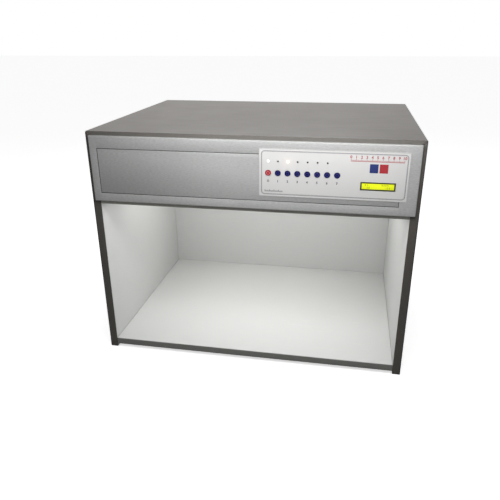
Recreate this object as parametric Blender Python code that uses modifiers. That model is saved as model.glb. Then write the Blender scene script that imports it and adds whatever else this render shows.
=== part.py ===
"""Colour-matching light cabinet: a viewing booth open at the front, under a lamp compartment.

Metres, +Z up, +X to the viewer's right, front towards -Y. The cabinet stands on its side boards at
z = 0, and the middle of its whole length and depth is at x = y = 0.
"""
import math

import bmesh
import bpy
from mathutils import Matrix

# ---------------------------------------------------------------- carcass
CABINET_WIDTH = 0.710
CABINET_DEPTH = 0.540            # board edges at the front to board edges at the rear
CABINET_HEIGHT = 0.540
BOARD = 0.018                    # side, top, ceiling and back boards
BASE_BOARD = 0.016
BASE_LIFT = 0.008                # the side boards stand this much below the base board
COMPARTMENT_HEIGHT = 0.126       # lamp compartment, between the ceiling and the top board
REAR_RECESS = 0.020              # the back board sits this far inside the rear edges
BATTEN_HEIGHT = 0.030
EDGE_ROUND = 0.0015
GAP = 0.0003                     # between pieces that touch or rest on each other

# ---------------------------------------------------------------- front plate
FASCIA_PROUD = 0.007             # the folded front plate stands this far in front of the boards
FASCIA_SHEET = 0.0015
FASCIA_REVEAL = 0.0085           # board edge left showing round the plate
GROOVE_WIDTH = 0.0014
GROOVE_DEPTH = 0.0008
GROOVE_LEFT_MARGIN = 0.017       # plate edge to the pressed groove
GROOVE_RIGHT_MARGIN = 0.0345
GROOVE_LOW_MARGIN = 0.0185
GROOVE_HIGH_MARGIN = 0.0265
STUD_RADIUS = 0.0025
STUD_TIP_RADIUS = 0.0014
STUD_TIP_LENGTH = 0.004          # behind the circuit board
BRACKET_LEG = 0.026
BRACKET_HEIGHT = 0.070

# ---------------------------------------------------------------- control panel
OVERLAY_WIDTH = 0.300
OVERLAY_HEIGHT = 0.100
OVERLAY_THICKNESS = 0.0008
OVERLAY_RIGHT_MARGIN = 0.0205    # from the right edge of the front plate
OVERLAY_RISE = 0.030             # from the lower edge of the front plate
OVERLAY_CORNER = 0.0015
BUTTON_COUNT = 8
BUTTON_RADIUS = 0.0060
BUTTON_PITCH = 0.0201
BUTTON_FIRST = 0.0193            # from the overlay's left edge to the first button
BUTTON_RISE = 0.0497             # from the overlay's lower edge
BUTTON_PROUD = 0.0012
BUTTON_CROWN = 0.0004           # how much the rim of the cap's face drops
BUTTON_CROWN_WIDTH = 0.0012
BUTTON_TRAVEL = 0.0010
BUTTON_FLANGE = 0.0011           # radial width of the collar that keeps the cap in
BUTTON_COLLAR = 0.0010
BUTTON_STEM_RADIUS = 0.0022
BUTTON_STEM = 0.0050
BUTTON_CLEARANCE = 0.0003
LAMP_INDICATORS = 7
INDICATOR_RADIUS = 0.0017
INDICATOR_RISE = 0.0741
INDICATOR_PROUD = 0.0009
INDICATOR_FLANGE = 0.0006
DISPLAY_FROM_RIGHT = 0.0585      # overlay's right edge to the middle of the display
DISPLAY_RISE = 0.0299
DISPLAY_WIDTH = 0.069            # outside of the bezel
DISPLAY_HEIGHT = 0.017
BEZEL_RIM = 0.0024
BEZEL_DEPTH = 0.0050
BEZEL_PROUD = 0.0003
SCREEN_SETBACK = 0.0008
SCREEN_THICKNESS = 0.0030
MODULE_WIDTH = 0.080
MODULE_HEIGHT = 0.036
MODULE_THICKNESS = 0.0016
CIRCUIT_WIDTH = 0.160
CIRCUIT_HEIGHT = 0.062
CIRCUIT_THICKNESS = 0.0016
SWITCH_SIZE = 0.006              # push switches on the circuit board
SWITCH_BODY = 0.0035
PLUNGER_LENGTH = 0.0015
PLUNGER_RADIUS = 0.0017
RELAY = (0.015, 0.016, 0.019)
RELAY_PITCH = 0.0203
RELAY_LIFT = 0.012               # above the middle of the circuit board
CONNECTOR = (0.070, 0.009, 0.010)
CONNECTOR_DROP = 0.020

# ---------------------------------------------------------------- lamps
REFLECTOR_SIDE_MARGIN = 0.0080   # side board to the reflector's flange
REFLECTOR_FLANGE = 0.010
REFLECTOR_SHEET = 0.0012
REFLECTOR_HEIGHT = 0.084
REFLECTOR_FRONT = 0.079          # board front edges to the inside of the reflector
REFLECTOR_INNER_DEPTH = 0.352
REFLECTOR_TAPER = 0.90
APERTURE_LAP = 0.016             # ceiling board showing inside the reflector, each side
DIFFUSER_THICKNESS = 0.003
DIFFUSER_LAP = 0.010
LAMP_COUNT = 6
LAMP_RADIUS = 0.013
LAMP_PITCH = 0.040
LAMP_FIRST = 0.190               # board front edges to the axis of the first tube
LAMP_RISE = 0.045                # ceiling board's top to the lamp axes
LAMP_CAP = 0.010
LAMP_CAP_STEP = 0.0008           # the metal caps stand this much outside the glass
LAMP_CAP_CHAMFER = 0.0010
LAMP_END_PLAY = 0.0010
PIN_LENGTH = 0.0070
PIN_RADIUS = 0.0012
PIN_SPACING = 0.0127
HOLDER_THICKNESS = 0.0217
HOLDER_STRIP = 0.0100
HOLDER_WIDTH = 0.024
HOLDER_HEIGHT = 0.034
PIN_CLEARANCE = 0.0006
BULB_RADIUS = 0.030
BULB_LENGTH = 0.104
BULB_CAP_RADIUS = 0.0132
BULB_CAP_LENGTH = 0.024
BULB_NECK_RADIUS = 0.0152
BULB_TIP_RADIUS = 0.0066
BULB_TIP_LENGTH = 0.0040
BULB_DEPTH = 0.130               # board front edges to the axis of the filament lamps
SOCKET_RADIUS = 0.019
SOCKET_LENGTH = 0.045
SOCKET_CLEARANCE = 0.0004
SOCKET_END_PLAY = 0.0020
BALLAST_COUNT = 3
BALLAST_LENGTH = 0.200
BALLAST_WIDTH = 0.040
BALLAST_HEIGHT = 0.028
BALLAST_FOOT = 0.012
BALLAST_FOOT_THICKNESS = 0.0015
BALLAST_PITCH = 0.090
BALLAST_LEFT = -0.080            # middle of the ballasts along X

# ---------------------------------------------------------------- rear panel and mains fittings
PANEL_SHEET = 0.0015
PANEL_MARGIN = 0.001             # round the panel, to the side boards and the top board
PANEL_FOOT = 0.002               # ceiling board's underside to the panel's lower edge
SCREW_INSET = 0.027              # panel's side edge to the outer screws
SCREW_LOW = 0.007                # panel's lower edge to the lower screws
SCREW_HIGH = 0.014               # panel's upper edge to the upper screws
SCREW_SHANK_RADIUS = 0.0016
SCREW_HEAD_RADIUS = 0.0036
SCREW_HEAD_HEIGHT = 0.0022
SCREW_LENGTH = 0.012
SCREW_POINT = 0.0020
CROSS_ARM = (0.0048, 0.0026, 0.0009)
SCREW_CLEARANCE = 0.0003
VENT_SLOTS = 8                   # in each of two groups
VENT_PITCH = 0.0105
VENT_WIDTH = 0.0045
VENT_CORNER = 0.0022
VENT_HEIGHT = 0.052
VENT_CENTRE = 0.130              # middle of a group from the cabinet's middle
VENT_RISE = 0.075                # middle of the slots above the panel's lower edge
INLET_FROM_SIDE = 0.085          # right side of the panel to the middle of the mains inlet
INLET_RISE = 0.070
INLET_BODY = (0.0274, 0.0300, 0.0450)
INLET_FLANGE = (0.0310, 0.0030, 0.0490)
INLET_SOCKET = (0.0240, 0.0180, 0.0165)
INLET_SOCKET_DROP = 0.0095       # inlet's middle down to the middle of the plug recess
INLET_PIN = (0.0020, 0.0140, 0.0040)
INLET_PIN_SPACING = 0.0140
INLET_PIN_ROOT = 0.0020          # how far each pin is set in the recess's floor
INLET_PIN_DROP = 0.0020          # of the two live pins, and the lift of the earth pin
DRAWER_POCKET = (0.0234, 0.0240, 0.0092)
DRAWER_LIFT = 0.0125             # inlet's middle up to the middle of the fuse drawer
DRAWER_CLEARANCE = 0.0003
DRAWER_LIP = 0.0010
DRAWER_GRIP = (0.0100, 0.0016, 0.0030)
ROCKER_FROM_INLET = 0.060
SWITCH_WALL = 0.0014
SWITCH_DEPTH = 0.0116            # housing behind the rocker's pivots
SWITCH_FLANGE = 0.0020           # radial width and thickness of the switch's rim
ROCKER_WIDTH = 0.0180
ROCKER_HALF_LENGTH = 0.0124
ROCKER_TOP = 0.0025              # pivot to the middle of the rocker's face
ROCKER_RISE = 0.0016             # how much higher its ends are
ROCKER_KEEL = 0.0060
ROCKER_TILT = math.radians(7.0)
ROCKER_CLEARANCE = 0.0006
ROCKER_SIDE_CLEARANCE = 0.0003
PIVOT_RADIUS = 0.0015
PIVOT_LENGTH = 0.0010
PIVOT_CLEARANCE = 0.00015
PANEL_CUT_CLEARANCE = 0.0003
TERMINAL_COUNT = 8
TERMINAL_PITCH = 0.010
TERMINAL_SIZE = (0.088, 0.022, 0.018)
TERMINAL_WELL_RADIUS = 0.0028
TERMINAL_WELL_DEPTH = 0.007
TERMINAL_FROM_REAR = 0.045       # ceiling board's rear edge to the middle of the terminal block

# ---------------------------------------------------------------- facets of round pieces
PIN_SIDES = 6
COARSE = 10
ROUND = 16

# ---------------------------------------------------------------- derived places
CONTROLS_PROUD = FASCIA_PROUD + GAP + OVERLAY_THICKNESS + BUTTON_PROUD
BOARD_FRONT = -(CABINET_DEPTH - CONTROLS_PROUD) / 2
INNER_HALF = CABINET_WIDTH / 2 - BOARD
PIECE_HALF = INNER_HALF - GAP
FLOOR_TOP = BASE_LIFT + BASE_BOARD
TOP_UNDERSIDE = CABINET_HEIGHT - BOARD
CEILING_TOP = TOP_UNDERSIDE - COMPARTMENT_HEIGHT
CEILING_UNDERSIDE = CEILING_TOP - BOARD
BACK_REAR = CABINET_DEPTH - REAR_RECESS
BACK_FRONT = BACK_REAR - BOARD
FASCIA_HALF = CABINET_WIDTH / 2 - FASCIA_REVEAL
FASCIA_LOW = CEILING_UNDERSIDE + FASCIA_REVEAL
FASCIA_HIGH = CABINET_HEIGHT - FASCIA_REVEAL
FASCIA_BACK = -(FASCIA_PROUD - FASCIA_SHEET)
OVERLAY_RIGHT = FASCIA_HALF - OVERLAY_RIGHT_MARGIN
OVERLAY_LEFT = OVERLAY_RIGHT - OVERLAY_WIDTH
OVERLAY_LOW = FASCIA_LOW + OVERLAY_RISE
OVERLAY_FACE = -(FASCIA_PROUD + GAP + OVERLAY_THICKNESS)
BUTTON_Z = OVERLAY_LOW + BUTTON_RISE
INDICATOR_Z = OVERLAY_LOW + INDICATOR_RISE
DISPLAY_X = OVERLAY_RIGHT - DISPLAY_FROM_RIGHT
DISPLAY_Z = OVERLAY_LOW + DISPLAY_RISE
COLLAR_FRONT = FASCIA_BACK + GAP
STEM_END = COLLAR_FRONT + BUTTON_COLLAR + BUTTON_STEM
PLUNGER_TIP = STEM_END + BUTTON_TRAVEL + GAP
CIRCUIT_FRONT = PLUNGER_TIP + PLUNGER_LENGTH + SWITCH_BODY
REFLECTOR_HALF = INNER_HALF - REFLECTOR_SIDE_MARGIN - REFLECTOR_FLANGE - REFLECTOR_SHEET
REFLECTOR_MIDDLE = REFLECTOR_FRONT + REFLECTOR_INNER_DEPTH / 2
LAMP_Z = CEILING_TOP + LAMP_RISE
HOLDER_OUTER = REFLECTOR_HALF - GAP
HOLDER_FACE = HOLDER_OUTER - HOLDER_THICKNESS
LAMP_HALF = HOLDER_FACE - LAMP_END_PLAY
PANEL_FRONT = BACK_REAR + GAP
PANEL_REAR = PANEL_FRONT + PANEL_SHEET
PANEL_HALF = INNER_HALF - PANEL_MARGIN
PANEL_LOW = CEILING_UNDERSIDE + PANEL_FOOT
PANEL_HIGH = TOP_UNDERSIDE - PANEL_MARGIN
SCREW_PLACES = [(x, z) for z in (PANEL_LOW + SCREW_LOW, PANEL_HIGH - SCREW_HIGH)
                for x in (-(PANEL_HALF - SCREW_INSET), 0.0, PANEL_HALF - SCREW_INSET)]
INLET_X = PANEL_HALF - INLET_FROM_SIDE
INLET_Z = PANEL_LOW + INLET_RISE
ROCKER_X = INLET_X - ROCKER_FROM_INLET
ROCKER_CAVITY = (ROCKER_WIDTH + 2 * ROCKER_SIDE_CLEARANCE,
                 2 * (math.hypot(ROCKER_HALF_LENGTH, ROCKER_TOP + ROCKER_RISE) + ROCKER_CLEARANCE))


def deep(distance):
    """World Y of a point this far behind the front edges of the boards."""
    return BOARD_FRONT + distance


# ---------------------------------------------------------------- scene and helpers
for leftover in list(bpy.data.objects):
    bpy.data.objects.remove(leftover, do_unlink=True)

PIECES = bpy.data.collections.new("colour_light_cabinet")
CUTTERS = bpy.data.collections.new("cutters")
bpy.context.scene.collection.children.link(PIECES)
bpy.context.scene.collection.children.link(CUTTERS)

TURN_TO_X = Matrix.Rotation(math.pi / 2, 3, "Y")
TURN_TO_Y = Matrix.Rotation(-math.pi / 2, 3, "X")
FACING_FRONT = (math.pi / 2, 0.0, 0.0)       # a turned piece's +Z towards -Y
FACING_REAR = (-math.pi / 2, 0.0, 0.0)       # a turned piece's +Z towards +Y


def material(name, colour, roughness, metallic=0.0):
    """A plain finish for one kind of piece."""
    made = bpy.data.materials.new(name)
    made.use_nodes = True
    shader = made.node_tree.nodes["Principled BSDF"]
    shader.inputs["Base Color"].default_value = (*colour, 1.0)
    shader.inputs["Roughness"].default_value = roughness
    shader.inputs["Metallic"].default_value = metallic
    made.diffuse_color = (*colour, 1.0)
    return made


LAMINATE = material("grey_laminate_board", (0.16, 0.155, 0.15), 0.55)
CHAMBER_PAINT = material("light_grey_chamber_paint", (0.62, 0.63, 0.63), 0.8)
FASCIA_PAINT = material("silver_grey_enamel", (0.30, 0.30, 0.31), 0.45, 0.3)
OVERLAY_FILM = material("pale_grey_overlay", (0.72, 0.72, 0.71), 0.4)
BUTTON_RED = material("red_button_plastic", (0.55, 0.02, 0.05), 0.35)
BUTTON_BLUE = material("navy_button_plastic", (0.02, 0.02, 0.22), 0.35)
CLEAR_PLASTIC = material("clear_plastic", (0.75, 0.75, 0.70), 0.15)
BLACK_PLASTIC = material("black_plastic", (0.02, 0.02, 0.02), 0.4)
SCREEN_GLASS = material("yellow_green_display", (0.70, 0.80, 0.05), 0.2)
CIRCUIT_GREEN = material("circuit_laminate", (0.02, 0.16, 0.07), 0.4)
OPAL = material("opal_acrylic", (0.85, 0.86, 0.85), 0.5)
LAMP_GLASS = material("lamp_glass", (0.88, 0.89, 0.87), 0.2)
PORCELAIN = material("white_lampholder", (0.80, 0.80, 0.77), 0.35)
WHITE_SHEET = material("white_reflector_enamel", (0.82, 0.82, 0.80), 0.4)
STEEL = material("bare_steel", (0.55, 0.55, 0.56), 0.35, 1.0)
DARK_SHEET = material("dark_grey_sheet", (0.10, 0.10, 0.10), 0.5, 0.2)
TIMBER = material("batten_wood", (0.50, 0.36, 0.22), 0.7)


def place(name, mesh, finish, location, rotation=(0.0, 0.0, 0.0), collection=PIECES):
    """Put a mesh in the scene as one named object."""
    piece = bpy.data.objects.new(name, mesh)
    collection.objects.link(piece)
    piece.location = location
    piece.rotation_euler = rotation
    if finish is not None and not mesh.materials:
        mesh.materials.append(finish)
    return piece


def as_mesh(name, bm, closed=True):
    """Turn a finished bmesh into mesh data; a closed shape gets its faces turned outwards."""
    mesh = bpy.data.meshes.new(name)
    if closed:
        bmesh.ops.recalc_face_normals(bm, faces=bm.faces)
    bm.to_mesh(mesh)
    bm.free()
    return mesh


def add_box(bm, size, centre=(0.0, 0.0, 0.0)):
    """Add a box to a bmesh and return its vertices."""
    corners = bmesh.ops.create_cube(bm, size=1.0)["verts"]
    bmesh.ops.scale(bm, vec=size, verts=corners)
    bmesh.ops.translate(bm, vec=centre, verts=corners)
    return corners


def add_cylinder(bm, radius, length, centre, turn, segments=COARSE):
    """Add a closed cylinder to a bmesh, its axis turned from Z by the matrix."""
    ring = bmesh.ops.create_cone(bm, cap_ends=True, segments=segments,
                                 radius1=radius, radius2=radius, depth=length)["verts"]
    bmesh.ops.rotate(bm, cent=(0.0, 0.0, 0.0), matrix=turn, verts=ring)
    bmesh.ops.translate(bm, vec=centre, verts=ring)


def block(name, low, high, finish, edge=0.0):
    """A box between two corners, with its edges rounded when edge is not zero."""
    size = [b - a for a, b in zip(low, high)]
    centre = [(a + b) / 2 for a, b in zip(low, high)]
    bm = bmesh.new()
    add_box(bm, size)
    piece = place(name, as_mesh(name, bm), finish, centre)
    if edge:
        round_edges(piece, edge)
    return piece


def round_edges(piece, width, segments=2):
    """Round every sharp edge of a piece."""
    bevel = piece.modifiers.new("edges", "BEVEL")
    bevel.width = width
    bevel.segments = segments
    bevel.limit_method = "ANGLE"
    bevel.angle_limit = math.radians(30)


def combine(piece, other, operation):
    """Cut another shape from a piece, or join it to the piece, and hide the other shape."""
    boolean = piece.modifiers.new(operation.lower(), "BOOLEAN")
    boolean.operation = operation
    boolean.solver = "EXACT"
    boolean.object = other
    other.hide_render = True
    other.display_type = "WIRE"


def tool(name, bm):
    """A cutting or joining shape, drawn in world coordinates."""
    return place(name, as_mesh(name, bm), None, (0.0, 0.0, 0.0), collection=CUTTERS)


def turned(name, profile, finish, location, rotation, segments=ROUND, collection=PIECES):
    """A turned piece: a profile of (radius, height) points from its top down, round its Z axis."""
    bm = bmesh.new()
    points = [bm.verts.new((radius, 0.0, height)) for radius, height in profile]
    for upper, lower in zip(points, points[1:]):
        bm.edges.new((upper, lower))
    mesh = bpy.data.meshes.new(name)
    bm.to_mesh(mesh)
    bm.free()
    piece = place(name, mesh, finish, location, rotation, collection)
    screw = piece.modifiers.new("turn", "SCREW")
    screw.steps = segments
    screw.render_steps = segments
    screw.use_merge_vertices = True
    screw.merge_threshold = 0.00001
    screw.use_smooth_shade = True
    return piece


def arc(middle, radius, start, stop, steps):
    """Points (radius, height) on an arc round a point on the turning axis, angles in degrees."""
    return [(radius * math.cos(math.radians(start + (stop - start) * i / steps)),
             middle + radius * math.sin(math.radians(start + (stop - start) * i / steps)))
            for i in range(steps + 1)]


# ---------------------------------------------------------------- carcass
def side_board(name, side):
    """A full-height board with its top cut at 45 degrees to meet the top board."""
    mitre_drop = GAP * math.sqrt(2)
    height = CABINET_HEIGHT - mitre_drop
    bm = bmesh.new()
    corners = add_box(bm, (BOARD, CABINET_DEPTH, height))
    inner_top = [v for v in corners if v.co.x * side < 0 and v.co.z > 0]
    bmesh.ops.translate(bm, vec=(0.0, 0.0, -BOARD), verts=inner_top)
    centre = (side * (CABINET_WIDTH - BOARD) / 2, deep(CABINET_DEPTH / 2), height / 2)
    round_edges(place(name, as_mesh(name, bm), LAMINATE, centre), EDGE_ROUND)


def top_board():
    """The lid, cut at 45 degrees at both ends."""
    bm = bmesh.new()
    corners = add_box(bm, (CABINET_WIDTH, CABINET_DEPTH, BOARD))
    for side in (-1, 1):
        under = [v for v in corners if v.co.x * side > 0 and v.co.z < 0]
        bmesh.ops.translate(bm, vec=(-side * BOARD, 0.0, 0.0), verts=under)
    centre = (0.0, deep(CABINET_DEPTH / 2), CABINET_HEIGHT - BOARD / 2)
    round_edges(place("top_board", as_mesh("top_board", bm), LAMINATE, centre), EDGE_ROUND)


def pilot_holes():
    """Cutters for the rear panel's screws, in the ceiling board's edge and the batten."""
    bm = bmesh.new()
    length = SCREW_LENGTH + 2 * GAP
    for x, z in SCREW_PLACES:
        add_cylinder(bm, SCREW_SHANK_RADIUS + SCREW_CLEARANCE, length,
                     (x, deep(BACK_REAR + GAP - length / 2), z), TURN_TO_Y)
    return tool("pilot_holes", bm)


def carcass():
    """The boards of the cabinet, and the batten behind the top board."""
    side_board("left_side_board", -1)
    side_board("right_side_board", 1)
    top_board()
    block("base_board", (-PIECE_HALF, deep(0.0), BASE_LIFT),
          (PIECE_HALF, deep(BACK_REAR), FLOOR_TOP), CHAMBER_PAINT, EDGE_ROUND / 2)
    block("back_board", (-PIECE_HALF, deep(BACK_FRONT), FLOOR_TOP + GAP),
          (PIECE_HALF, deep(BACK_REAR), CEILING_UNDERSIDE - GAP), CHAMBER_PAINT)
    ceiling = block("ceiling_board", (-PIECE_HALF, deep(0.0), CEILING_UNDERSIDE),
                    (PIECE_HALF, deep(BACK_REAR), CEILING_TOP), CHAMBER_PAINT, EDGE_ROUND / 2)
    batten = block("rear_batten", (-PIECE_HALF, deep(BACK_FRONT), TOP_UNDERSIDE - GAP - BATTEN_HEIGHT),
                   (PIECE_HALF, deep(BACK_REAR), TOP_UNDERSIDE - GAP), TIMBER)
    bm = bmesh.new()
    add_box(bm, (2 * (REFLECTOR_HALF - APERTURE_LAP), REFLECTOR_INNER_DEPTH - 2 * APERTURE_LAP, 2 * BOARD),
            (0.0, deep(REFLECTOR_MIDDLE), CEILING_UNDERSIDE + BOARD / 2))
    combine(ceiling, tool("light_aperture", bm), "DIFFERENCE")
    holes = pilot_holes()
    combine(ceiling, holes, "DIFFERENCE")
    combine(batten, holes, "DIFFERENCE")


# ---------------------------------------------------------------- front plate and control panel
def button_x(index):
    """Place of a button, or of the indicator above it, along X."""
    return OVERLAY_LEFT + BUTTON_FIRST + index * BUTTON_PITCH


def control_openings():
    """Cutter for the buttons, indicators and display, through the front plate and the overlay."""
    bm = bmesh.new()
    length = 4 * FASCIA_PROUD
    for index in range(BUTTON_COUNT):
        add_cylinder(bm, BUTTON_RADIUS + BUTTON_CLEARANCE, length,
                     (button_x(index), deep(OVERLAY_FACE), BUTTON_Z), TURN_TO_Y, ROUND)
    for index in range(LAMP_INDICATORS):
        add_cylinder(bm, INDICATOR_RADIUS + BUTTON_CLEARANCE, length,
                     (button_x(index), deep(OVERLAY_FACE), INDICATOR_Z), TURN_TO_Y)
    add_box(bm, (DISPLAY_WIDTH + 2 * GAP, length, DISPLAY_HEIGHT + 2 * GAP),
            (DISPLAY_X, deep(OVERLAY_FACE), DISPLAY_Z))
    return tool("control_openings", bm)


def circuit_centre():
    """Middle of the circuit board behind the buttons and indicators."""
    x = (button_x(0) + button_x(BUTTON_COUNT - 1)) / 2
    return x, (BUTTON_Z + INDICATOR_Z) / 2


def stud_places():
    """The four studs that carry the circuit board."""
    x, z = circuit_centre()
    across = CIRCUIT_WIDTH / 2 - 2 * STUD_RADIUS
    up = CIRCUIT_HEIGHT / 2 - 2 * STUD_RADIUS
    return [(x + i * across, z + j * up) for i in (-1, 1) for j in (-1, 1)]


def front_fascia(openings):
    """A folded sheet tray over the front of the lamp compartment, with a pressed groove."""
    depth = FASCIA_PROUD - GAP
    height = FASCIA_HIGH - FASCIA_LOW
    middle_z = (FASCIA_HIGH + FASCIA_LOW) / 2
    bm = bmesh.new()
    corners = add_box(bm, (2 * FASCIA_HALF, depth, height))
    back = [face for face in bm.faces if all(v.co.y > 0 for v in face.verts)]
    bmesh.ops.delete(bm, geom=back, context="FACES_ONLY")
    plate = place("front_fascia", as_mesh("front_fascia", bm, closed=False), FASCIA_PAINT,
                  (0.0, deep(-FASCIA_PROUD + depth / 2), middle_z))
    sheet = plate.modifiers.new("sheet", "SOLIDIFY")
    sheet.thickness = FASCIA_SHEET
    sheet.offset = -1.0
    combine(plate, groove_cutter(), "DIFFERENCE")
    combine(plate, openings, "DIFFERENCE")
    bm = bmesh.new()
    spacer = CIRCUIT_FRONT - GAP - FASCIA_BACK + FASCIA_SHEET / 2
    tip = CIRCUIT_FRONT + CIRCUIT_THICKNESS + STUD_TIP_LENGTH
    for x, z in stud_places():
        add_cylinder(bm, STUD_RADIUS, spacer, (x, deep(CIRCUIT_FRONT - GAP - spacer / 2), z), TURN_TO_Y)
    combine(plate, tool("circuit_studs", bm), "UNION")
    bm = bmesh.new()
    for x, z in stud_places():
        add_cylinder(bm, STUD_TIP_RADIUS, tip - FASCIA_BACK - GAP,
                     (x, deep((tip + FASCIA_BACK + GAP) / 2), z), TURN_TO_Y)
    combine(plate, tool("circuit_stud_tips", bm), "UNION")


def groove_cutter():
    """A thin rectangular ring, sunk into the face of the front plate."""
    left = -FASCIA_HALF + GROOVE_LEFT_MARGIN
    right = FASCIA_HALF - GROOVE_RIGHT_MARGIN
    low = FASCIA_LOW + GROOVE_LOW_MARGIN
    high = FASCIA_HIGH - GROOVE_HIGH_MARGIN
    bm = bmesh.new()
    add_box(bm, (right - left, 2 * GROOVE_DEPTH, high - low),
            ((left + right) / 2, deep(-FASCIA_PROUD), (low + high) / 2))
    bm.normal_update()
    faces = [face for face in bm.faces if abs(face.normal.y) > 0.5]
    bmesh.ops.inset_individual(bm, faces=faces, thickness=GROOVE_WIDTH, use_even_offset=True)
    window = [edge for face in faces for edge in face.edges]
    bmesh.ops.delete(bm, geom=faces, context="FACES_ONLY")
    bmesh.ops.bridge_loops(bm, edges=window)
    return tool("pressed_groove", bm)


def control_overlay(openings):
    """The printed panel that lies on the front plate."""
    bm = bmesh.new()
    add_box(bm, (OVERLAY_WIDTH, OVERLAY_THICKNESS, OVERLAY_HEIGHT))
    upright = [e for e in bm.edges if abs(e.verts[0].co.y - e.verts[1].co.y) > OVERLAY_THICKNESS / 2]
    bmesh.ops.bevel(bm, geom=upright, offset=OVERLAY_CORNER, segments=3, profile=0.5, affect="EDGES")
    centre = ((OVERLAY_LEFT + OVERLAY_RIGHT) / 2, deep(OVERLAY_FACE + OVERLAY_THICKNESS / 2),
              OVERLAY_LOW + OVERLAY_HEIGHT / 2)
    combine(place("control_overlay", as_mesh("control_overlay", bm), OVERLAY_FILM, centre),
            openings, "DIFFERENCE")


def push_buttons():
    """Sprung caps with a collar behind the front plate and a stem to their switch."""
    collar = BUTTON_RADIUS + BUTTON_FLANGE
    top = -OVERLAY_FACE + BUTTON_PROUD
    profile = [(0.0, top), (BUTTON_RADIUS - BUTTON_CROWN_WIDTH, top),
               (BUTTON_RADIUS, top - BUTTON_CROWN),
               (BUTTON_RADIUS, -COLLAR_FRONT), (collar, -COLLAR_FRONT),
               (collar, -COLLAR_FRONT - BUTTON_COLLAR),
               (BUTTON_STEM_RADIUS, -COLLAR_FRONT - BUTTON_COLLAR),
               (BUTTON_STEM_RADIUS, -STEM_END), (0.0, -STEM_END)]
    for index in range(BUTTON_COUNT):
        name = f"source_button_{index}" if index else "power_button"
        turned(name, profile, BUTTON_BLUE if index else BUTTON_RED,
               (button_x(index), deep(0.0), BUTTON_Z), FACING_FRONT)


def indicators():
    """Clear indicator lenses with a collar behind the front plate."""
    dome = -OVERLAY_FACE + INDICATOR_PROUD - INDICATOR_RADIUS
    collar = INDICATOR_RADIUS + INDICATOR_FLANGE
    profile = arc(dome, INDICATOR_RADIUS, 90, 0, 2)
    profile += [(INDICATOR_RADIUS, -COLLAR_FRONT), (collar, -COLLAR_FRONT),
                (collar, -CIRCUIT_FRONT + GAP), (0.0, -CIRCUIT_FRONT + GAP)]
    for index in range(LAMP_INDICATORS):
        turned(f"indicator_{index + 1}", profile, CLEAR_PLASTIC,
               (button_x(index), deep(0.0), INDICATOR_Z), FACING_FRONT, COARSE)


def display():
    """Two-line display: a bezel in the panel, the glass in it and the module's board behind."""
    bezel_front = OVERLAY_FACE - BEZEL_PROUD
    half = (DISPLAY_WIDTH / 2, DISPLAY_HEIGHT / 2)
    bezel = block("display_bezel", (DISPLAY_X - half[0], deep(bezel_front), DISPLAY_Z - half[1]),
                  (DISPLAY_X + half[0], deep(bezel_front + BEZEL_DEPTH), DISPLAY_Z + half[1]), BLACK_PLASTIC)
    glass = (DISPLAY_WIDTH - 2 * BEZEL_RIM, DISPLAY_HEIGHT - 2 * BEZEL_RIM)
    bm = bmesh.new()
    add_box(bm, (glass[0], 4 * BEZEL_DEPTH, glass[1]), (DISPLAY_X, deep(bezel_front), DISPLAY_Z))
    combine(bezel, tool("display_window", bm), "DIFFERENCE")
    screen_front = bezel_front + SCREEN_SETBACK
    block("display_screen",
          (DISPLAY_X - glass[0] / 2 + GAP, deep(screen_front), DISPLAY_Z - glass[1] / 2 + GAP),
          (DISPLAY_X + glass[0] / 2 - GAP, deep(screen_front + SCREEN_THICKNESS),
           DISPLAY_Z + glass[1] / 2 - GAP),
          SCREEN_GLASS)
    board_front = max(bezel_front + BEZEL_DEPTH, FASCIA_BACK) + GAP
    block("display_module",
          (DISPLAY_X - MODULE_WIDTH / 2, deep(board_front), DISPLAY_Z - MODULE_HEIGHT / 2),
          (DISPLAY_X + MODULE_WIDTH / 2, deep(board_front + MODULE_THICKNESS), DISPLAY_Z + MODULE_HEIGHT / 2),
          CIRCUIT_GREEN)


def control_board():
    """Circuit board with a push switch behind each button, relays and a connector."""
    x, z = circuit_centre()
    half = (CIRCUIT_WIDTH / 2, CIRCUIT_HEIGHT / 2)
    rear = CIRCUIT_FRONT + CIRCUIT_THICKNESS
    board = block("control_board", (x - half[0], deep(CIRCUIT_FRONT), z - half[1]),
                  (x + half[0], deep(rear), z + half[1]), CIRCUIT_GREEN)
    bm = bmesh.new()
    overlap = CIRCUIT_THICKNESS / 2
    for index in range(BUTTON_COUNT):
        add_box(bm, (SWITCH_SIZE, SWITCH_BODY + overlap, SWITCH_SIZE),
                (button_x(index), deep(CIRCUIT_FRONT + (overlap - SWITCH_BODY) / 2), BUTTON_Z))
    for index in range(LAMP_COUNT):
        relay_x = x + (index - (LAMP_COUNT - 1) / 2) * RELAY_PITCH
        add_box(bm, (RELAY[0], RELAY[1] + overlap, RELAY[2]),
                (relay_x, deep(rear + (RELAY[1] - overlap) / 2), z + RELAY_LIFT))
    add_box(bm, (CONNECTOR[0], CONNECTOR[1] + overlap, CONNECTOR[2]),
            (x, deep(rear + (CONNECTOR[1] - overlap) / 2), z - CONNECTOR_DROP))
    combine(board, tool("circuit_parts", bm), "UNION")
    bm = bmesh.new()
    length = PLUNGER_LENGTH + SWITCH_BODY / 2
    for index in range(BUTTON_COUNT):
        add_cylinder(bm, PLUNGER_RADIUS, length,
                     (button_x(index), deep(PLUNGER_TIP + length / 2), BUTTON_Z), TURN_TO_Y)
    combine(board, tool("switch_plungers", bm), "UNION")
    bm = bmesh.new()
    for x, z in stud_places():
        add_cylinder(bm, STUD_TIP_RADIUS + GAP, 4 * CIRCUIT_THICKNESS, (x, deep(CIRCUIT_FRONT), z), TURN_TO_Y)
    combine(board, tool("circuit_stud_holes", bm), "DIFFERENCE")


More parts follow.
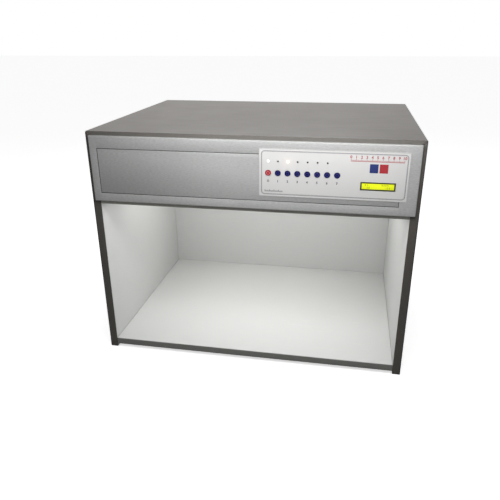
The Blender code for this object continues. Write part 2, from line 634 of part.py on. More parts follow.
def fascia_brackets():
    """Angles inside the side boards that the front plate hangs on."""
    middle_z = (CEILING_TOP + TOP_UNDERSIDE) / 2
    front = FASCIA_BACK + GAP
    for name, side in (("left_fascia_bracket", -1), ("right_fascia_bracket", 1)):
        bm = bmesh.new()
        corner = [bm.verts.new((side * x, y, 0.0)) for x, y in
                  ((PIECE_HALF - BRACKET_LEG, deep(front + FASCIA_SHEET / 2)),
                   (PIECE_HALF - FASCIA_SHEET / 2, deep(front + FASCIA_SHEET / 2)),
                   (PIECE_HALF - FASCIA_SHEET / 2, deep(front + BRACKET_LEG)))]
        legs = [bm.edges.new(pair) for pair in zip(corner, corner[1:])]
        raised = bmesh.ops.extrude_edge_only(bm, edges=legs)["geom"]
        bmesh.ops.translate(bm, vec=(0.0, 0.0, BRACKET_HEIGHT),
                            verts=[v for v in raised if isinstance(v, bmesh.types.BMVert)])
        angle = place(name, as_mesh(name, bm, closed=False), STEEL, (0.0, 0.0, middle_z - BRACKET_HEIGHT / 2))
        sheet = angle.modifiers.new("sheet", "SOLIDIFY")
        sheet.thickness = FASCIA_SHEET
        sheet.offset = 0.0
        sheet.use_even_offset = True


# ---------------------------------------------------------------- lamp compartment
def reflector_tray():
    """A white sheet tray, open below, with a flange that rests on the ceiling board."""
    height = REFLECTOR_HEIGHT - REFLECTOR_SHEET
    bm = bmesh.new()
    corners = add_box(bm, (2 * REFLECTOR_HALF, REFLECTOR_INNER_DEPTH, height), (0.0, 0.0, height / 2))
    roof = [v for v in corners if v.co.z > height / 2]
    bmesh.ops.scale(bm, vec=(1.0, REFLECTOR_TAPER, 1.0), verts=roof)
    under = [face for face in bm.faces if all(v.co.z < height / 2 for v in face.verts)]
    rim = list(under[0].edges)
    bmesh.ops.delete(bm, geom=under, context="FACES_ONLY")
    spread = bmesh.ops.extrude_edge_only(bm, edges=rim)["geom"]
    flange = [v for v in spread if isinstance(v, bmesh.types.BMVert)]
    reach = REFLECTOR_FLANGE + REFLECTOR_SHEET
    bmesh.ops.scale(bm, vec=(1 + reach / REFLECTOR_HALF, 1 + 2 * reach / REFLECTOR_INNER_DEPTH, 1.0),
                    verts=flange)
    tray = place("reflector_tray", as_mesh("reflector_tray", bm, closed=False), WHITE_SHEET,
                 (0.0, deep(REFLECTOR_MIDDLE), CEILING_TOP + GAP))
    sheet = tray.modifiers.new("sheet", "SOLIDIFY")
    sheet.thickness = REFLECTOR_SHEET
    sheet.offset = 1.0
    sheet.use_even_offset = True


def diffuser_panel():
    """An opal sheet that lies over the light aperture."""
    half_x = REFLECTOR_HALF - APERTURE_LAP + DIFFUSER_LAP
    half_y = REFLECTOR_INNER_DEPTH / 2 - APERTURE_LAP + DIFFUSER_LAP
    block("diffuser_panel", (-half_x, deep(REFLECTOR_MIDDLE - half_y), CEILING_TOP + GAP),
          (half_x, deep(REFLECTOR_MIDDLE + half_y), CEILING_TOP + GAP + DIFFUSER_THICKNESS), OPAL)


def lamp_y(index):
    """World Y of the axis of a lamp tube."""
    return deep(LAMP_FIRST + index * LAMP_PITCH)


def lampholder_rails():
    """A strip at each end of the tray with a turning holder for every tube."""
    outer_pin = PIN_SPACING / 2 + PIN_RADIUS + PIN_CLEARANCE
    inner_pin = PIN_SPACING / 2 - PIN_RADIUS - PIN_CLEARANCE
    depth = LAMP_END_PLAY + PIN_LENGTH
    first = lamp_y(0) - HOLDER_WIDTH / 2
    last = lamp_y(LAMP_COUNT - 1) + HOLDER_WIDTH / 2
    for name, side in (("left_lampholder_rail", -1), ("right_lampholder_rail", 1)):
        ends = sorted((side * HOLDER_OUTER, side * (HOLDER_OUTER - HOLDER_STRIP)))
        rail = block(name, (ends[0], first, LAMP_Z - HOLDER_HEIGHT / 2),
                     (ends[1], last, LAMP_Z + HOLDER_HEIGHT / 2), PORCELAIN)
        bm = bmesh.new()
        length = HOLDER_THICKNESS - HOLDER_STRIP / 2
        for index in range(LAMP_COUNT):
            add_box(bm, (length, HOLDER_WIDTH - 2 * GAP, HOLDER_HEIGHT - 2 * GAP),
                    (side * (HOLDER_FACE + length / 2), lamp_y(index), LAMP_Z))
        combine(rail, tool(f"{name}_holders", bm), "UNION")
        near = depth - HOLDER_FACE
        far = -depth - HOLDER_FACE
        ring = [(inner_pin, near), (outer_pin, near), (outer_pin, far), (inner_pin, far), (inner_pin, near)]
        for index in range(LAMP_COUNT):
            groove = turned(f"{name}_pin_ring_{index + 1}", ring, None, (0.0, lamp_y(index), LAMP_Z),
                            (0.0, -side * math.pi / 2, 0.0), ROUND, CUTTERS)
            combine(rail, groove, "DIFFERENCE")


def lamp_tubes():
    """Two-pin lamp tubes, each free to turn in its holders."""
    glass = LAMP_RADIUS - LAMP_CAP_STEP
    end = [(glass, LAMP_HALF), (LAMP_RADIUS, LAMP_HALF - LAMP_CAP_CHAMFER),
           (LAMP_RADIUS, LAMP_HALF - LAMP_CAP), (glass, LAMP_HALF - LAMP_CAP - LAMP_CAP_CHAMFER)]
    other_end = [(radius, -height) for radius, height in reversed(end)]
    profile = [(0.0, LAMP_HALF)] + end + other_end + [(0.0, -LAMP_HALF)]
    length = 2 * (LAMP_HALF + PIN_LENGTH)
    reach = PIN_LENGTH + LAMP_CAP / 2
    for index in range(LAMP_COUNT):
        tube = turned(f"lamp_tube_{index + 1}", profile, LAMP_GLASS,
                      (0.0, lamp_y(index), LAMP_Z), (0.0, math.pi / 2, 0.0), ROUND)
        bm = bmesh.new()
        for side in (-1, 1):
            for offset in (-PIN_SPACING / 2, PIN_SPACING / 2):
                add_cylinder(bm, PIN_RADIUS, reach,
                             (side * (length - reach) / 2, lamp_y(index) + offset, LAMP_Z),
                             TURN_TO_X, PIN_SIDES)
        combine(tube, tool(f"lamp_pins_{index + 1}", bm), "UNION")


def filament_lamps():
    """A filament lamp at each end of the front row, screwed into its socket."""
    shoulder = BULB_LENGTH - 2 * BULB_RADIUS - BULB_CAP_LENGTH
    profile = arc(0.0, BULB_RADIUS, 90, -50, 7)
    profile += [(BULB_NECK_RADIUS, -BULB_RADIUS - shoulder / 2),
                (BULB_CAP_RADIUS, -BULB_RADIUS - shoulder),
                (BULB_CAP_RADIUS, BULB_RADIUS - BULB_LENGTH + BULB_TIP_LENGTH),
                (BULB_TIP_RADIUS, BULB_RADIUS - BULB_LENGTH), (0.0, BULB_RADIUS - BULB_LENGTH)]
    bore = BULB_CAP_RADIUS + SOCKET_CLEARANCE
    well = BULB_CAP_LENGTH + SOCKET_END_PLAY
    cup = [(0.0, -well), (bore, -well), (bore, 0.0), (SOCKET_RADIUS, 0.0),
           (SOCKET_RADIUS, -SOCKET_LENGTH), (0.0, -SOCKET_LENGTH)]
    mouth = HOLDER_OUTER - SOCKET_LENGTH
    for word, side in (("left", -1), ("right", 1)):
        turn = (0.0, -side * math.pi / 2, 0.0)
        turned(f"{word}_lamp_socket", cup, PORCELAIN, (side * mouth, deep(BULB_DEPTH), LAMP_Z), turn)
        centre = mouth - (BULB_LENGTH - BULB_RADIUS - BULB_CAP_LENGTH)
        turned(f"{word}_filament_lamp", profile, LAMP_GLASS, (side * centre, deep(BULB_DEPTH), LAMP_Z), turn)


def ballasts():
    """Electronic ballasts with foot tabs, on the roof of the tray."""
    low = CEILING_TOP + REFLECTOR_HEIGHT + 2 * GAP
    for index in range(BALLAST_COUNT):
        y = deep(REFLECTOR_MIDDLE + (index - (BALLAST_COUNT - 1) / 2) * BALLAST_PITCH)
        half = (BALLAST_LENGTH / 2 - BALLAST_FOOT, BALLAST_WIDTH / 2)
        box = block(f"ballast_{index + 1}", (BALLAST_LEFT - half[0], y - half[1], low),
                    (BALLAST_LEFT + half[0], y + half[1], low + BALLAST_HEIGHT), DARK_SHEET)
        bm = bmesh.new()
        add_box(bm, (BALLAST_LENGTH, BALLAST_WIDTH - 2 * BALLAST_FOOT_THICKNESS, BALLAST_FOOT_THICKNESS),
                (BALLAST_LEFT, y, low + BALLAST_FOOT_THICKNESS / 2 + GAP))
        combine(box, tool(f"ballast_feet_{index + 1}", bm), "UNION")


def terminal_block():
    """Mains terminals on the ceiling board, behind the tray."""
    y = deep(BACK_REAR - TERMINAL_FROM_REAR)
    block_piece = block("terminal_block",
                        (ROCKER_X - TERMINAL_SIZE[0], y - TERMINAL_SIZE[1] / 2, CEILING_TOP + GAP),
                        (ROCKER_X, y + TERMINAL_SIZE[1] / 2, CEILING_TOP + GAP + TERMINAL_SIZE[2]), PORCELAIN)
    bm = bmesh.new()
    start = ROCKER_X - TERMINAL_SIZE[0] / 2 - (TERMINAL_COUNT - 1) / 2 * TERMINAL_PITCH
    for index in range(TERMINAL_COUNT):
        add_cylinder(bm, TERMINAL_WELL_RADIUS, 2 * TERMINAL_WELL_DEPTH,
                     (start + index * TERMINAL_PITCH, y, CEILING_TOP + GAP + TERMINAL_SIZE[2]),
                     Matrix.Identity(3), COARSE)
    combine(block_piece, tool("terminal_wells", bm), "DIFFERENCE")


# ---------------------------------------------------------------- rear panel and mains fittings
def rear_service_panel():
    """Sheet panel over the back of the lamp compartment, with vents and mains fittings."""
    panel = block("rear_service_panel", (-PANEL_HALF, deep(PANEL_FRONT), PANEL_LOW),
                  (PANEL_HALF, deep(PANEL_REAR), PANEL_HIGH), DARK_SHEET)
    through = 6 * PANEL_SHEET
    middle = deep((PANEL_FRONT + PANEL_REAR) / 2)
    bm = bmesh.new()
    for group in (-1, 1):
        for index in range(VENT_SLOTS):
            x = group * VENT_CENTRE + (index - (VENT_SLOTS - 1) / 2) * VENT_PITCH
            slot = bmesh.new()
            add_box(slot, (VENT_WIDTH, through, VENT_HEIGHT), (x, middle, PANEL_LOW + VENT_RISE))
            edges = [e for e in slot.edges if abs(e.verts[0].co.y - e.verts[1].co.y) > through / 2]
            bmesh.ops.bevel(slot, geom=edges, offset=VENT_CORNER, segments=2, profile=0.5, affect="EDGES")
            shape = bpy.data.meshes.new("vent_slot")
            slot.to_mesh(shape)
            slot.free()
            bm.from_mesh(shape)
            bpy.data.meshes.remove(shape)
    for x, z in SCREW_PLACES:
        add_cylinder(bm, SCREW_SHANK_RADIUS + SCREW_CLEARANCE, through, (x, middle, z), TURN_TO_Y)
    add_box(bm, (INLET_BODY[0] + 2 * PANEL_CUT_CLEARANCE, through, INLET_BODY[2] + 2 * PANEL_CUT_CLEARANCE),
            (INLET_X, middle, INLET_Z))
    add_box(bm, (ROCKER_CAVITY[0] + 2 * (SWITCH_WALL + PANEL_CUT_CLEARANCE), through,
                 ROCKER_CAVITY[1] + 2 * (SWITCH_WALL + PANEL_CUT_CLEARANCE)), (ROCKER_X, middle, INLET_Z))
    combine(panel, tool("panel_openings", bm), "DIFFERENCE")


def panel_screws():
    """Cross-head screws that hold the rear panel to the ceiling board and the batten."""
    under_head = PANEL_REAR + GAP
    tip = SCREW_LENGTH - (PANEL_REAR - BACK_REAR)
    profile = [(0.0, SCREW_HEAD_HEIGHT), (SCREW_HEAD_RADIUS * 0.55, SCREW_HEAD_HEIGHT * 0.88),
               (SCREW_HEAD_RADIUS * 0.9, SCREW_HEAD_HEIGHT * 0.5), (SCREW_HEAD_RADIUS, 0.0),
               (SCREW_SHANK_RADIUS, 0.0), (SCREW_SHANK_RADIUS, -tip + SCREW_POINT), (0.0, -tip)]
    for index, (x, z) in enumerate(SCREW_PLACES):
        screw = turned(f"panel_screw_{index + 1}", profile, STEEL, (x, deep(under_head), z),
                       FACING_REAR, COARSE)
        for word, arm in (("across", CROSS_ARM), ("upright", CROSS_ARM[::-1])):
            bm = bmesh.new()
            add_box(bm, arm, (x, deep(under_head + SCREW_HEAD_HEIGHT), z))
            combine(screw, tool(f"screw_{index + 1}_cross_{word}", bm), "DIFFERENCE")


def mains_inlet():
    """Flanged mains inlet with three pins in its recess and a pocket for the fuse drawer."""
    outer = PANEL_REAR + GAP
    inner = outer - (INLET_BODY[1] - INLET_FLANGE[1])
    body = block("mains_inlet",
                 (INLET_X - INLET_BODY[0] / 2, deep(inner), INLET_Z - INLET_BODY[2] / 2),
                 (INLET_X + INLET_BODY[0] / 2, deep(outer + INLET_FLANGE[1] / 2),
                  INLET_Z + INLET_BODY[2] / 2),
                 BLACK_PLASTIC)
    bm = bmesh.new()
    add_box(bm, INLET_FLANGE, (INLET_X, deep(outer + INLET_FLANGE[1] / 2), INLET_Z))
    combine(body, tool("inlet_flange", bm), "UNION")
    face = outer + INLET_FLANGE[1]
    bm = bmesh.new()
    add_box(bm, (INLET_SOCKET[0], 2 * INLET_SOCKET[1], INLET_SOCKET[2]),
            (INLET_X, deep(face), INLET_Z - INLET_SOCKET_DROP))
    add_box(bm, (DRAWER_POCKET[0], 2 * DRAWER_POCKET[1], DRAWER_POCKET[2]),
            (INLET_X, deep(face), INLET_Z + DRAWER_LIFT))
    combine(body, tool("inlet_recesses", bm), "DIFFERENCE")
    bm = bmesh.new()
    root = face - INLET_SOCKET[1] - INLET_PIN_ROOT
    length = INLET_PIN[1] + INLET_PIN_ROOT
    for place_along, lift in ((-1, -1), (0, 1), (1, -1)):
        add_box(bm, (INLET_PIN[0], length, INLET_PIN[2]),
                (INLET_X + place_along * INLET_PIN_SPACING / 2, deep(root + length / 2),
                 INLET_Z - INLET_SOCKET_DROP + lift * INLET_PIN_DROP))
    combine(body, tool("inlet_pins", bm), "UNION")


def fuse_drawer():
    """Small drawer with a grip, sliding out of the inlet."""
    face = PANEL_REAR + GAP + INLET_FLANGE[1]
    inner = face - DRAWER_POCKET[1] + DRAWER_CLEARANCE
    outer = face + DRAWER_LIP
    size = (DRAWER_POCKET[0] - 2 * DRAWER_CLEARANCE, outer - inner, DRAWER_POCKET[2] - 2 * DRAWER_CLEARANCE)
    centre = (INLET_X, deep((inner + outer) / 2), INLET_Z + DRAWER_LIFT)
    bm = bmesh.new()
    add_box(bm, size)
    drawer = place("fuse_drawer", as_mesh("fuse_drawer", bm), BLACK_PLASTIC, centre)
    bm = bmesh.new()
    add_box(bm, DRAWER_GRIP, (INLET_X, deep(outer), INLET_Z + DRAWER_LIFT))
    combine(drawer, tool("drawer_grip", bm), "DIFFERENCE")


def mains_switch():
    """Rocker switch: a housing in the rear panel and a rocker on two stub pivots."""
    outer = PANEL_REAR + GAP
    face = outer + SWITCH_FLANGE
    pivot = outer
    inner = pivot - SWITCH_DEPTH
    wall = (ROCKER_CAVITY[0] + 2 * SWITCH_WALL, ROCKER_CAVITY[1] + 2 * SWITCH_WALL)
    housing = block("mains_switch_housing",
                    (ROCKER_X - wall[0] / 2, deep(inner), INLET_Z - wall[1] / 2),
                    (ROCKER_X + wall[0] / 2, deep(outer + SWITCH_FLANGE / 2), INLET_Z + wall[1] / 2),
                    BLACK_PLASTIC)
    bm = bmesh.new()
    add_box(bm, (wall[0] + 2 * SWITCH_FLANGE, SWITCH_FLANGE, wall[1] + 2 * SWITCH_FLANGE),
            (ROCKER_X, deep(outer + SWITCH_FLANGE / 2), INLET_Z))
    combine(housing, tool("switch_rim", bm), "UNION")
    bm = bmesh.new()
    cavity = face - inner - SWITCH_WALL
    add_box(bm, (ROCKER_CAVITY[0], 2 * cavity, ROCKER_CAVITY[1]), (ROCKER_X, deep(face), INLET_Z))
    combine(housing, tool("rocker_cavity", bm), "DIFFERENCE")
    bm = bmesh.new()
    span = ROCKER_WIDTH + 2 * (PIVOT_LENGTH + ROCKER_SIDE_CLEARANCE)
    add_cylinder(bm, PIVOT_RADIUS + PIVOT_CLEARANCE, span, (ROCKER_X, deep(pivot), INLET_Z),
                 TURN_TO_X, ROUND)
    combine(housing, tool("pivot_holes", bm), "DIFFERENCE")
    outline = [(-ROCKER_HALF_LENGTH, ROCKER_TOP + ROCKER_RISE), (0.0, ROCKER_TOP),
               (ROCKER_HALF_LENGTH, ROCKER_TOP + ROCKER_RISE), (ROCKER_HALF_LENGTH, 0.0),
               (ROCKER_HALF_LENGTH / 2, -ROCKER_KEEL), (-ROCKER_HALF_LENGTH / 2, -ROCKER_KEEL),
               (-ROCKER_HALF_LENGTH, 0.0)]
    bm = bmesh.new()
    side = bm.faces.new([bm.verts.new((-ROCKER_WIDTH / 2, y, z)) for z, y in outline])
    swept = bmesh.ops.extrude_face_region(bm, geom=[side])["geom"]
    bmesh.ops.translate(bm, vec=(ROCKER_WIDTH, 0.0, 0.0),
                        verts=[v for v in swept if isinstance(v, bmesh.types.BMVert)])
    rocker = place("mains_switch_rocker", as_mesh("mains_switch_rocker", bm), BUTTON_RED,
                   (ROCKER_X, deep(pivot), INLET_Z), (ROCKER_TILT, 0.0, 0.0))
    bm = bmesh.new()
    add_cylinder(bm, PIVOT_RADIUS, span - 2 * ROCKER_SIDE_CLEARANCE, (ROCKER_X, deep(pivot), INLET_Z),
                 TURN_TO_X, COARSE)
    combine(rocker, tool("rocker_pivots", bm), "UNION")


carcass()
panel_cuts = control_openings()
front_fascia(panel_cuts)
control_overlay(panel_cuts)
push_buttons()
indicators()
display()
control_board()
fascia_brackets()
reflector_tray()
diffuser_panel()
lampholder_rails()
lamp_tubes()
filament_lamps()
ballasts()
terminal_block()
rear_service_panel()
panel_screws()
mains_inlet()
fuse_drawer()
mains_switch()
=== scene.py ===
import math

import bmesh
import bpy
from mathutils import Matrix, Vector

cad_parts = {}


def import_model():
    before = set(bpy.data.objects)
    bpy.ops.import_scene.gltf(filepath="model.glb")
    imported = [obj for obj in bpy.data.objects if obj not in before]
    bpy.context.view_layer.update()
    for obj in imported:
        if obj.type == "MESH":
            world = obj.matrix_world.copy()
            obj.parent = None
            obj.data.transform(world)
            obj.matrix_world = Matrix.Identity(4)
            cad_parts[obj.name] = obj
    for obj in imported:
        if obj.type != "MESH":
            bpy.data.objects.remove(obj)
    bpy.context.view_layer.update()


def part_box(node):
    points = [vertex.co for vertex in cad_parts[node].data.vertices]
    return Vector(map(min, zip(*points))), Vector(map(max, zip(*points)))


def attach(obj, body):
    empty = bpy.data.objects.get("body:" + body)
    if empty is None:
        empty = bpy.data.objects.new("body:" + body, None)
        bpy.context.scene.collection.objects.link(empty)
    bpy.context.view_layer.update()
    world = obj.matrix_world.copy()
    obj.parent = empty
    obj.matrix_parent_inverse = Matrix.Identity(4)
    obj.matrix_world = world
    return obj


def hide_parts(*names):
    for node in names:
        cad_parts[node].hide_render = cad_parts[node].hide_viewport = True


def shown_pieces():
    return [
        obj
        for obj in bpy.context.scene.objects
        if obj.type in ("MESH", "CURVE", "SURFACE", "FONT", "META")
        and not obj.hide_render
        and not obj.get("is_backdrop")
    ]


# Finishes and fine shapes of a colour-matching light cabinet. Metres, +Z up, front towards -Y.
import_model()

BOARD = 0.018                    # thickness of the boards
BOARD_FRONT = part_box("left_side_board")[0].y
EDGING = 0.0010                  # plastic edge strip glued to the front of each board
STRIP_GAP = 0.0001               # between an edge strip and its board
SHEET = 0.0015                   # thickness of folded sheet
GAP = 0.0003                     # clearance round parts let into the front
INK = 0.00004                    # half the thickness of print
FACING = 0.9                     # how squarely a face looks along an axis
SOURCES = 7
TUBES = 6
LIT = (1, 3)                     # indicators that are on


# ---------------------------------------------------------------- node helpers
def new_group(name, inputs, outputs):
    """An empty shader group with its named sockets."""
    group = bpy.data.node_groups.new(name, "ShaderNodeTree")
    for label, kind, value in inputs:
        socket = group.interface.new_socket(name=label, in_out="INPUT", socket_type=f"NodeSocket{kind}")
        socket.default_value = value
    for label, kind in outputs:
        group.interface.new_socket(name=label, in_out="OUTPUT", socket_type=f"NodeSocket{kind}")
    return group, group.nodes.new("NodeGroupInput").outputs, group.nodes.new("NodeGroupOutput").inputs


def feed(tree, socket, value):
    """Link a socket, or set it."""
    if isinstance(value, bpy.types.NodeSocket):
        tree.links.new(value, socket)
    elif value is not None:
        socket.default_value = value


def node(tree, kind, inputs=(), **settings):
    """A node with its settings and its inputs, each a (name or number, value) pair."""
    made = tree.nodes.new(f"ShaderNode{kind}")
    for key, value in settings.items():
        setattr(made, key, value)
    for label, value in inputs:
        feed(tree, made.inputs[label], value)
    return made


def maths(tree, operation, a, b=None, clamp=False):
    """One step of arithmetic."""
    return node(tree, "Math", [(0, a), (1, b)], operation=operation, use_clamp=clamp).outputs[0]


def mixed(tree, share, a, b, mode="MIX"):
    """Two colours mixed."""
    return node(tree, "Mix", [(0, share), (6, a), (7, b)], data_type="RGBA", blend_type=mode).outputs[2]


def spread(tree, value, low, high, start=0.0, stop=1.0):
    """A value moved from one range to another."""
    return node(tree, "MapRange", [(0, value), (1, start), (2, stop), (3, low), (4, high)]).outputs[0]


def effect(tree, group, **values):
    """A shared effect placed in a material with its own values; returns its only output."""
    made = tree.nodes.new("ShaderNodeGroup")
    made.node_tree = group
    for label, value in values.items():
        feed(tree, made.inputs[label.capitalize()], value)
    return made.outputs[0]


def rgb(red, green, blue):
    return (red, green, blue, 1.0)


def here(tree):
    """Where a point is on its object."""
    return node(tree, "TexCoord").outputs["Object"]


def neutral(tree, level):
    """A level as a colour without hue."""
    return node(tree, "CombineColor", [(0, level), (1, level), (2, level)]).outputs[0]


def middle_of(node_name):
    low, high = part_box(node_name)
    return (low + high) / 2


# ---------------------------------------------------------------- shared effects
def grain_effect():
    """Fine grain in real scale, drawn out along one direction by Stretch."""
    group, given, out = new_group("grain", [("Scale", "Float", 200.0), ("Stretch", "Vector", (1.0, 1.0, 1.0)),
                                            ("Detail", "Float", 3.0), ("Contrast", "Float", 1.5)],
                                  [("Grain", "Float")])
    place = here(group)
    drawn = node(group, "Mapping", [("Vector", place), ("Scale", given["Stretch"])]).outputs[0]
    noise = node(group, "TexNoise", [("Vector", drawn), ("Scale", given["Scale"]), ("Detail", given["Detail"])])
    lifted = maths(group, "MULTIPLY", maths(group, "SUBTRACT", noise.outputs["Fac"], 0.5), given["Contrast"])
    feed(group, out["Grain"], maths(group, "ADD", lifted, 0.5, clamp=True))
    return group


def wear_effect():
    """Mask of rubbed edges: where the rounded normal leaves the flat one, broken up by noise."""
    group, given, out = new_group("edge_wear", [("Radius", "Float", 0.002), ("Scale", "Float", 90.0),
                                                ("Amount", "Float", 0.5)], [("Mask", "Float")])
    rounded = node(group, "Bevel", [("Radius", given["Radius"])], samples=4).outputs[0]
    flat = node(group, "NewGeometry").outputs["Normal"]
    along = node(group, "VectorMath", [(0, rounded), (1, flat)], operation="DOT_PRODUCT").outputs["Value"]
    edge = spread(group, along, 1.0, 0.0, 0.75, 0.995)
    place = here(group)
    noise = node(group, "TexNoise", [("Vector", place), ("Scale", given["Scale"]), ("Detail", 4.0)]).outputs["Fac"]
    broken = maths(group, "MULTIPLY", edge, spread(group, noise, 0.0, 1.0, 0.42, 0.62))
    feed(group, out["Mask"], maths(group, "MULTIPLY", broken, given["Amount"], clamp=True))
    return group


def dust_effect():
    """Mask of settled dust on faces that look up."""
    group, given, out = new_group("dust", [("Scale", "Float", 14.0), ("Amount", "Float", 0.1)],
                                  [("Mask", "Float")])
    upward = node(group, "SeparateXYZ", [(0, node(group, "NewGeometry").outputs["Normal"])]).outputs["Z"]
    place = here(group)
    cloud = node(group, "TexNoise", [("Vector", place), ("Scale", given["Scale"]), ("Detail", 6.0)]).outputs["Fac"]
    mask = maths(group, "MULTIPLY", maths(group, "MAXIMUM", upward, 0.0), spread(group, cloud, 0.1, 1.0, 0.35, 0.7))
    feed(group, out["Mask"], maths(group, "MULTIPLY", mask, given["Amount"], clamp=True))
    return group


def scuff_effect():
    """Mask of sparse hairline rubs, drawn out along one direction."""
    group, given, out = new_group("scuffs", [("Scale", "Float", 30.0), ("Stretch", "Vector", (1.0, 1.0, 1.0)),
                                             ("Amount", "Float", 0.3)], [("Mask", "Float")])
    place = here(group)
    drawn = node(group, "Mapping", [("Vector", place), ("Scale", given["Stretch"]),
                                    ("Rotation", (0.1, 0.05, 0.15))]).outputs[0]
    hair = node(group, "TexNoise", [("Vector", drawn), ("Scale", given["Scale"]), ("Detail", 2.0)]).outputs["Fac"]
    patch = node(group, "TexNoise", [("Vector", place), ("Scale", 5.0), ("Detail", 2.0)]).outputs["Fac"]
    hair, patch = spread(group, hair, 0.0, 1.0, 0.63, 0.72), spread(group, patch, 0.0, 1.0, 0.45, 0.6)
    mask = maths(group, "MULTIPLY", hair, patch)
    feed(group, out["Mask"], maths(group, "MULTIPLY", mask, given["Amount"], clamp=True))
    return group


GRAIN = grain_effect()
WEAR = wear_effect()
DUST = dust_effect()
SCUFFS = scuff_effect()


# ---------------------------------------------------------------- finishes
def new_finish(name):
    made = bpy.data.materials.new(name)
    made.use_nodes = True
    return made, made.node_tree, made.node_tree.nodes["Principled BSDF"]


def dress(tree, shader, height, bump, looks):
    """Give a surface fine relief of (strength, depth), and its colour, roughness and other looks."""
    relief = node(tree, "Bump", [("Height", height), ("Strength", bump[0]), ("Distance", bump[1])]).outputs[0]
    feed(tree, shader.inputs["Normal"], relief)
    for label, value in looks.items():
        feed(tree, shader.inputs[label], value)


def finish(name, light, dark, rough, grain, bump, stretch=None, drift=6.0, metallic=0.0, wear=None, dust=0.0,
           scuffs=None, coat=0.0, coat_rough=0.2, specular=0.5):
    """A finish of two close tones with fine grain, slow drift of tone, rubbed edges, scuffs and dust.
    rough is (lowest, highest); grain is (scale, contrast); bump is (strength, depth)."""
    made, tree, shader = new_finish(name)
    fine = effect(tree, GRAIN, scale=grain[0], stretch=stretch, detail=4.0, contrast=grain[1])
    slow = effect(tree, GRAIN, scale=drift, detail=3.0, contrast=1.6)
    share = maths(tree, "ADD", maths(tree, "MULTIPLY", fine, 0.6), maths(tree, "MULTIPLY", slow, 0.4), clamp=True)
    colour = mixed(tree, share, rgb(*dark), rgb(*light))
    if scuffs:
        marks = effect(tree, SCUFFS, scale=scuffs[0], stretch=scuffs[1], amount=scuffs[2])
        colour = mixed(tree, marks, colour, rgb(*[min(1.0, c * 1.6 + 0.03) for c in light]))
    if wear:
        rubbed = effect(tree, WEAR, radius=wear[0], scale=140.0, amount=wear[1])
        colour = mixed(tree, rubbed, colour, rgb(*wear[2]))
    if dust:
        settled = effect(tree, DUST, scale=16.0, amount=dust)
        colour = mixed(tree, settled, colour, rgb(0.62, 0.60, 0.57))
    dress(tree, shader, maths(tree, "ADD", fine, maths(tree, "MULTIPLY", slow, 0.25)), bump, {
        "Base Color": colour, "Roughness": spread(tree, share, rough[1], rough[0]), "Metallic": metallic,
        "Coat Weight": coat, "Coat Roughness": coat_rough, "Specular IOR Level": specular})
    return made


def glowing(made, colour, strength):
    """Give a finish a light of its own."""
    shader = made.node_tree.nodes["Principled BSDF"]
    shader.inputs["Emission Color"].default_value = rgb(*colour)
    shader.inputs["Emission Strength"].default_value = strength
    return made


# Looks that several finishes share: (rough, grain, bump) or (grain, bump), and the keywords with them.
LAMINATE = ((0.345, 0.322, 0.303), (0.265, 0.246, 0.231), (0.33, 0.46), (9.0, 1.8), (0.1, 0.0002))
LAMINATE_USE = dict(drift=4.0, wear=(0.002, 0.35, (0.42, 0.40, 0.38)))
STRIP = ((160.0, 1.6), (0.12, 0.0001))
LENGTHWISE = (1.0, 4.0, 4.0)
GREY_WEAR = (0.0012, 0.5, (0.22, 0.22, 0.21))
CAP = ((0.34, 0.46), (1400.0, 1.4), (0.1, 0.00004))
CAP_COAT = dict(coat=0.05, coat_rough=0.25, specular=0.3)
RING = ((0.30, 0.42), (1400.0, 1.4), (0.1, 0.00004))
LENS = ((1200.0, 1.2), (0.05, 0.00003))
MOULDED = (1100.0, 1.5)
PRINT = ((0.45, 0.60), (1600.0, 1.8), (0.1, 0.00002))
GLASS = ((260.0, 1.2), (0.03, 0.00003))

TOP_LAMINATE = finish("grey_laminate_lengthwise", *LAMINATE, (1.5, 60.0, 60.0), dust=0.1,
                      scuffs=(26.0, (1.0, 22.0, 22.0), 0.2), **LAMINATE_USE)
SIDE_LAMINATE = finish("grey_laminate_upright", *LAMINATE, (60.0, 60.0, 1.5),
                       scuffs=(26.0, (22.0, 22.0, 1.0), 0.2), **LAMINATE_USE)
DARK_EDGING = finish("dark_brown_edging", (0.112, 0.104, 0.092), (0.074, 0.068, 0.06), (0.45, 0.6), *STRIP,
                     (4.0, 4.0, 1.0), wear=(0.0012, 0.5, (0.12, 0.11, 0.1)), specular=0.3)
TOP_EDGING = finish("brown_grey_edging", (0.155, 0.147, 0.134), (0.118, 0.111, 0.102), (0.36, 0.5), *STRIP,
                    LENGTHWISE, wear=(0.0012, 0.5, (0.07, 0.065, 0.06)))
BASE_EDGING = finish("green_grey_edging", (0.215, 0.218, 0.202), (0.155, 0.158, 0.146), (0.36, 0.52), *STRIP,
                     LENGTHWISE, wear=GREY_WEAR)
# The ceiling's edge strip is the base strip's grey made about 1.6 times lighter: painted light, lifting the shade that
# the front plate casts on it.
CEILING_EDGING_PAINTED_LIGHTER = finish("grey_edging_painted_lighter", (0.36, 0.352, 0.325), (0.27, 0.264, 0.244), (0.36, 0.52), *STRIP,
                        LENGTHWISE, wear=GREY_WEAR)
CHAMBER_PAINT = finish("neutral_grey_paint", (0.655, 0.66, 0.652), (0.615, 0.62, 0.612), (0.62, 0.8), (420.0, 1.4),
                       (0.16, 0.00025), drift=3.0, scuffs=(22.0, (1.0, 14.0, 14.0), 0.1), dust=0.04)
FASCIA = finish("brushed_silver_enamel", (0.56, 0.563, 0.558), (0.33, 0.334, 0.332), (0.4, 0.54), (150.0, 2.1),
                (0.2, 0.00012), (1.0, 6.0, 6.0), drift=5.0, metallic=0.25, wear=(0.001, 0.15, (0.6, 0.6, 0.59)),
                scuffs=(40.0, (1.0, 20.0, 20.0), 0.12))
OVERLAY = finish("pale_polyester_film", (0.61, 0.606, 0.6), (0.572, 0.569, 0.563), (0.4, 0.52), (900.0, 1.5),
                 (0.1, 0.00005), coat=0.12, coat_rough=0.35)
